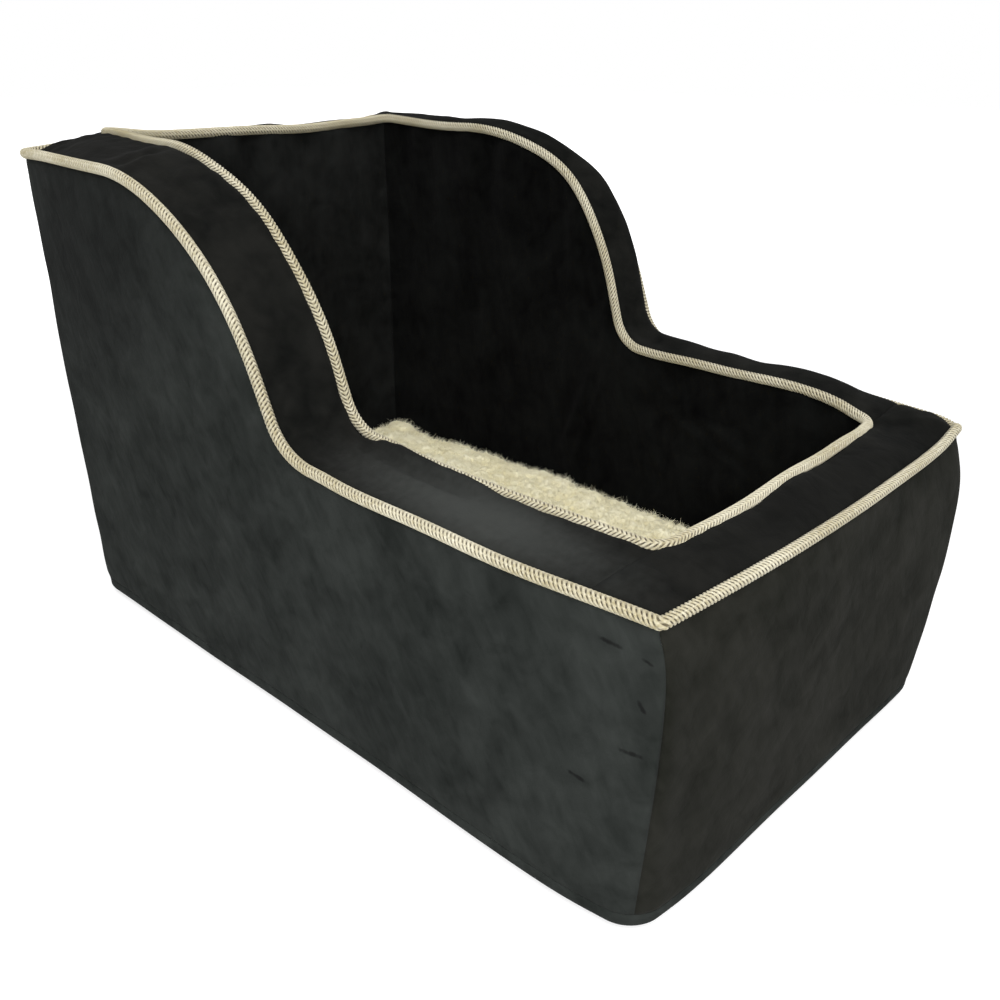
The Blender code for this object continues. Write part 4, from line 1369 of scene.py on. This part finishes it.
def sherpa():
    """Sherpa: cream polyester pile in clumps, with painted shade in the partings, darker where the
    clumps stand low.
    """
    made, tree, shader = new_material("sherpa_pile")
    where = add(tree, "TexCoord").outputs["Object"]
    pile = add(tree, "Attribute", attribute_name="pile").outputs["Fac"]
    fleck = add(tree, "TexNoise", {"Vector": where, "Scale": 1 / 0.0016, "Detail": 3})
    drift = add(tree, "TexNoise", {"Vector": where, "Scale": 1 / 0.030, "Detail": 2})
    tips = add(tree, "Mix", {
        0: drift.outputs["Fac"], 6: linear("F1EAC9"), 7: linear("F8F5E2"),
    }, data_type="RGBA")
    # Painted shade: the colour darkens from the tips down into the low partings.
    level = add(tree, "MapRange", {"Value": pile, "From Min": 0.30, "From Max": 0.85})
    tone = add(tree, "Mix", {0: level, 6: linear("D8CEA6"), 7: tips.outputs[2]}, data_type="RGBA")
    bump = add(tree, "Bump", {"Height": fleck.outputs["Fac"], "Strength": 0.3, "Distance": 0.0006})
    feed(shader, {
        "Base Color": tone.outputs[2], "Normal": bump, "Roughness": 1.0,
        "Specular IOR Level": 0.1, "Sheen Weight": 0.35, "Sheen Roughness": 0.5,
        "Sheen Tint": linear("FBF8DC"),
    })
    return made


def woven(name, code, shade, warp, weft, up="Z"):
    """Woven yarn, over and under: each crossing catches the light, the gaps between go dark."""
    made, tree, shader = new_material(name)
    where = add(tree, "TexCoord").outputs["Object"]
    spot = add(tree, "SeparateXYZ", {0: where})
    waves = []
    for axis, pitch in (("X", warp), (up, weft)):
        turn = add(tree, "Math", {0: spot.outputs[axis], 1: math.pi / pitch}, operation="MULTIPLY")
        waves.append(add(tree, "Math", {0: turn}, operation="SINE"))
    cross = add(tree, "Math", dict(enumerate(waves)), operation="MULTIPLY")
    over = add(tree, "Math", {0: cross}, operation="ABSOLUTE")
    fibre = add(tree, "TexNoise", {"Vector": where, "Scale": 2 / warp, "Detail": 2})
    level = add(tree, "Math", {
        0: over, 1: 0.7, 2: fibre.outputs["Fac"],
    }, operation="MULTIPLY_ADD")
    # The colour paints the crossings paler, as a painted highlight, and the gaps darker, as painted
    # shade.
    tone = add(tree, "Mix", {0: level, 6: linear(shade), 7: linear(code)}, data_type="RGBA")
    feed(shader, {
        "Base Color": tone.outputs[2],
        "Normal": add(tree, "Bump", {"Height": cross, "Strength": 0.6, "Distance": warp / 4}),
        "Roughness": 0.85, "Sheen Weight": 0.1,
    })
    return made


def plain_finish(name, code, roughness, grain, metallic=0.0):
    """A finish with a fine grain of the given size; its colour varies a little with it."""
    made, tree, shader = new_material(name)
    where = add(tree, "TexCoord").outputs["Object"]
    texture = add(tree, "TexNoise", {"Vector": where, "Scale": 1 / grain, "Detail": 3})
    texture = texture.outputs["Fac"]
    shade = tuple(0.7 * value for value in linear(code)[:3]) + (1,)
    tone = add(tree, "Mix", {0: texture, 6: shade, 7: linear(code)}, data_type="RGBA")
    feed(shader, {
        "Base Color": tone.outputs[2],
        "Normal": add(tree, "Bump", {"Height": texture, "Strength": 0.3, "Distance": grain / 4}),
        "Roughness": roughness, "Metallic": metallic,
    })
    return made


# Stage: the camera as it was fitted to the photo, the lights and a white paper floor

CAMERA_PLACE = (-0.4022, -0.3909, 0.3543)
CAMERA_RIGHT = (0.6828, -0.7305, 0.0103)
CAMERA_UP = (0.3407, 0.3308, 0.8800)
CAMERA_BACK = (-0.6463, -0.5974, 0.4748)
CAMERA_LENS = 35.254
CAMERA_SHIFT = 0.063
SENSOR_WIDTH = 36
NEAREST_SEEN = 0.01
LIGHT_AIM = (0, 0, 0.12)
# Each light's name, place, width and power
SOFTBOXES = (
    ("key_light", (-0.8, -0.8, 2.2), 1.4, 42),
    ("camera_light", (-0.62, -0.60, 0.46), 0.3, 3.6),
    ("fill_light", (1.3, -1.5, 1.4), 1.2, 5),
)
WHITE = (1, 1, 1, 1)
STUDIO_GLOW = 0.38
FLOOR_HALF = 6
FLOOR_GAP = 0.0003
FLOOR_GLOW = 1.5


def make_camera():
    data = bpy.data.cameras.new("camera")
    data.lens = CAMERA_LENS
    data.sensor_width = SENSOR_WIDTH
    data.shift_y = CAMERA_SHIFT
    data.clip_start = NEAREST_SEEN
    camera = new_object("camera", data)
    camera.matrix_world = framed(CAMERA_PLACE, CAMERA_RIGHT, CAMERA_UP, CAMERA_BACK)
    bpy.context.scene.camera = camera


def make_softbox(name, place, size, power):
    data = bpy.data.lights.new(name, "AREA")
    data.shape = "DISK"
    data.size = size
    data.energy = power
    light = new_object(name, data)
    aim = Vector(LIGHT_AIM) - Vector(place)
    light.location = place
    light.rotation_euler = aim.to_track_quat("-Z", "Y").to_euler()


def cleared(owner):
    """A new world's or material's node tree, emptied."""
    owner.use_nodes = True
    owner.node_tree.nodes.clear()
    return owner.node_tree


def seen_directly(tree):
    """1 for what the camera sees, directly, in a gloss or through glass."""
    path = add(tree, "LightPath").outputs
    gloss = add(tree, "Math", {
        0: path["Is Camera Ray"], 1: path["Is Glossy Ray"],
    }, operation="MAXIMUM")
    return add(tree, "Math", {0: gloss, 1: path["Is Transmission Ray"]}, operation="MAXIMUM")


def make_world():
    """White where it is seen, and a dimmer white where it only lights."""
    world = bpy.data.worlds.new("studio")
    bpy.context.scene.world = world
    tree = cleared(world)
    lit = add(tree, "Background", {"Color": WHITE, "Strength": STUDIO_GLOW})
    white = add(tree, "Background", {"Color": WHITE, "Strength": 1.0})
    mixed = add(tree, "MixShader", {0: seen_directly(tree), 1: lit, 2: white})
    add(tree, "OutputWorld", {"Surface": mixed})


def make_floor():
    """Matt paper that takes the seat's shadow and turns to plain white away from it."""
    bm = bmesh.new()
    bmesh.ops.create_grid(bm, x_segments=1, y_segments=1, size=FLOOR_HALF)
    mesh = mesh_of(bm, "floor")
    floor = new_object("floor", mesh)
    floor.location.z = -FLOOR_GAP
    paper = bpy.data.materials.new("white_paper_floor")
    tree = cleared(paper)
    matt = add(tree, "BsdfDiffuse", {"Color": linear("E8E8E8")})
    glow = add(tree, "Emission", {"Color": WHITE, "Strength": FLOOR_GLOW})
    where = add(tree, "TexCoord").outputs["Object"]
    away = add(tree, "VectorMath", {0: where}, operation="LENGTH")
    share = add(tree, "MapRange", {
        "Value": away.outputs["Value"], "From Min": 0.4, "From Max": 1.4, "To Min": 0.45,
    }, interpolation_type="SMOOTHSTEP")
    pale = add(tree, "MixShader", {0: share, 1: matt, 2: glow})
    mixed = add(tree, "MixShader", {0: seen_directly(tree), 1: matt, 2: pale})
    add(tree, "OutputMaterial", {"Surface": mixed})
    mesh.materials.append(paper)


bpy.context.scene.view_settings.view_transform = "Standard"
make_camera()
make_world()
for softbox in SOFTBOXES:
    make_softbox(*softbox)
make_floor()

# The cover's right side: one broad soft field of painted shade high towards the back, and five
# short scuffs low beside the front corner
SIDE_SCUFFS_AND_PAINTED_SHADE = (
    ((-0.1495, 0.150, 0.260), -0.5, (0.03, 0.210, 0.130), 0.4, 0.55, "070707"),
    ((-0.1495, -0.2093, 0.1517), 0.08, (0.03, 0.0065, 0.0016), 1.6, 0.70, "0B0B0B"),
    ((-0.1495, -0.2255, 0.1497), 0.28, (0.03, 0.0036, 0.0012), 1.6, 0.70, "0B0B0B"),
    ((-0.1495, -0.2228, 0.1051), -0.13, (0.03, 0.0090, 0.0018), 1.6, 0.70, "0B0B0B"),
    ((-0.1495, -0.2254, 0.1282), 0.96, (0.03, 0.0038, 0.0014), 1.6, 0.70, "0B0B0B"),
    ((-0.1495, -0.1983, 0.0800), 0.10, (0.03, 0.0065, 0.0015), 1.6, 0.70, "0B0B0B"),
)
# The rim: a painted highlight along the low right run, and painted shade over the front run
RIM_PAINTED_LIGHT = (
    ((-0.131, -0.125, 0.176), 0.0, (0.030, 0.115, 0.024), 0.3, 0.85, "3C3E3C"),
    ((0.0, -0.220, 0.176), 0.0, (0.150, 0.022, 0.030), 0.3, 0.5, "0A0A09"),
)
# Painted shade: the front panel's suede is coloured darker than the sides', and the rim's much
# darker, on its upward faces.
SUEDE = {
    "right": microsuede("microsuede_side_painted_shade", "1A1D1B", "303331", (0.5, 0, 0), SIDE_SCUFFS_AND_PAINTED_SHADE),
    "left": microsuede("microsuede_plain", "1A1D1B", "303331", (0.5, 0, 0)),
    "front": microsuede("microsuede_front_painted_shade", "13140F", "262622", (0, 0.5, 0)),
    "back": microsuede("microsuede_back", "1C1D1D", "313233", (0, 0.2, 0)),
    "rim": microsuede("microsuede_rim_painted_light", "090A09", "1B1B19", (1.5, 0, 0), RIM_PAINTED_LIGHT),
}
# Painted shade: the cabin's lining and floor are much darker copies of the suede; the back end's
# lining is painted lighter than the rest, as painted light.
LINING_END_PAINTED_LIGHT = microsuede("suede_lining_end_painted_light", "0A0B0A", "1D1E1D", (0.2, 0, 0))
LINING_PAINTED_SHADE = microsuede("suede_lining", "020202", "101110", (0.2, 0, 0))
make_covers(SUEDE)
make_hem(SUEDE)
make_rims(SUEDE)
make_linings({"front": LINING_PAINTED_SHADE, "left": LINING_PAINTED_SHADE, "back": LINING_END_PAINTED_LIGHT, "right": LINING_PAINTED_SHADE})
make_bottom(SUEDE)
PIPING_LINE = outer_layer(0)._replace(front_corner=TIP_CORNER)
make_cord("outer", PIPING_LINE, 0, OUTER_SLANT, OUTER_SPINE)
make_cord("inner", cabin_layer(0), RIM_RISE, INNER_SLANT, INNER_SPINE)

make_fleece(sherpa())
make_backing(woven("pad_backing_cotton", "DDD5C2", "A89F8A", 0.0009, 0.0009, "Y"))
make_floor_lining(LINING_PAINTED_SHADE)
make_zip_tape(woven("zip_tape_polyester", "1C1C1E", "0C0C0D", 0.0007, 0.0007))
make_coil(plain_finish("nylon_coil", "26262A", 0.38, 0.001))
METAL = plain_finish("blackened_zinc", "55555A", 0.35, 0.002, 1.0)
make_slider(METAL)
make_pull(METAL)
make_zip_stitches(plain_finish("polyester_thread", "1A1A1C", 0.6, 0.0005))
WEBBING_CLOTH = woven("polyester_webbing", "202023", "0D0D0E", 0.0013, 0.0011)
for side in ("left", "right"):
    make_belt_loop(side, WEBBING_CLOTH, plain_finish("webbing_thread", "2A2A2D", 0.6, 0.0005))
FOAM = plain_finish("upholstery_foam", "D9D4C3", 0.95, 0.0015)
make_foam(FOAM)
for node in ("foam_base", "pad_core"):
    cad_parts[node].data.materials.clear()
    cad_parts[node].data.materials.append(FOAM)
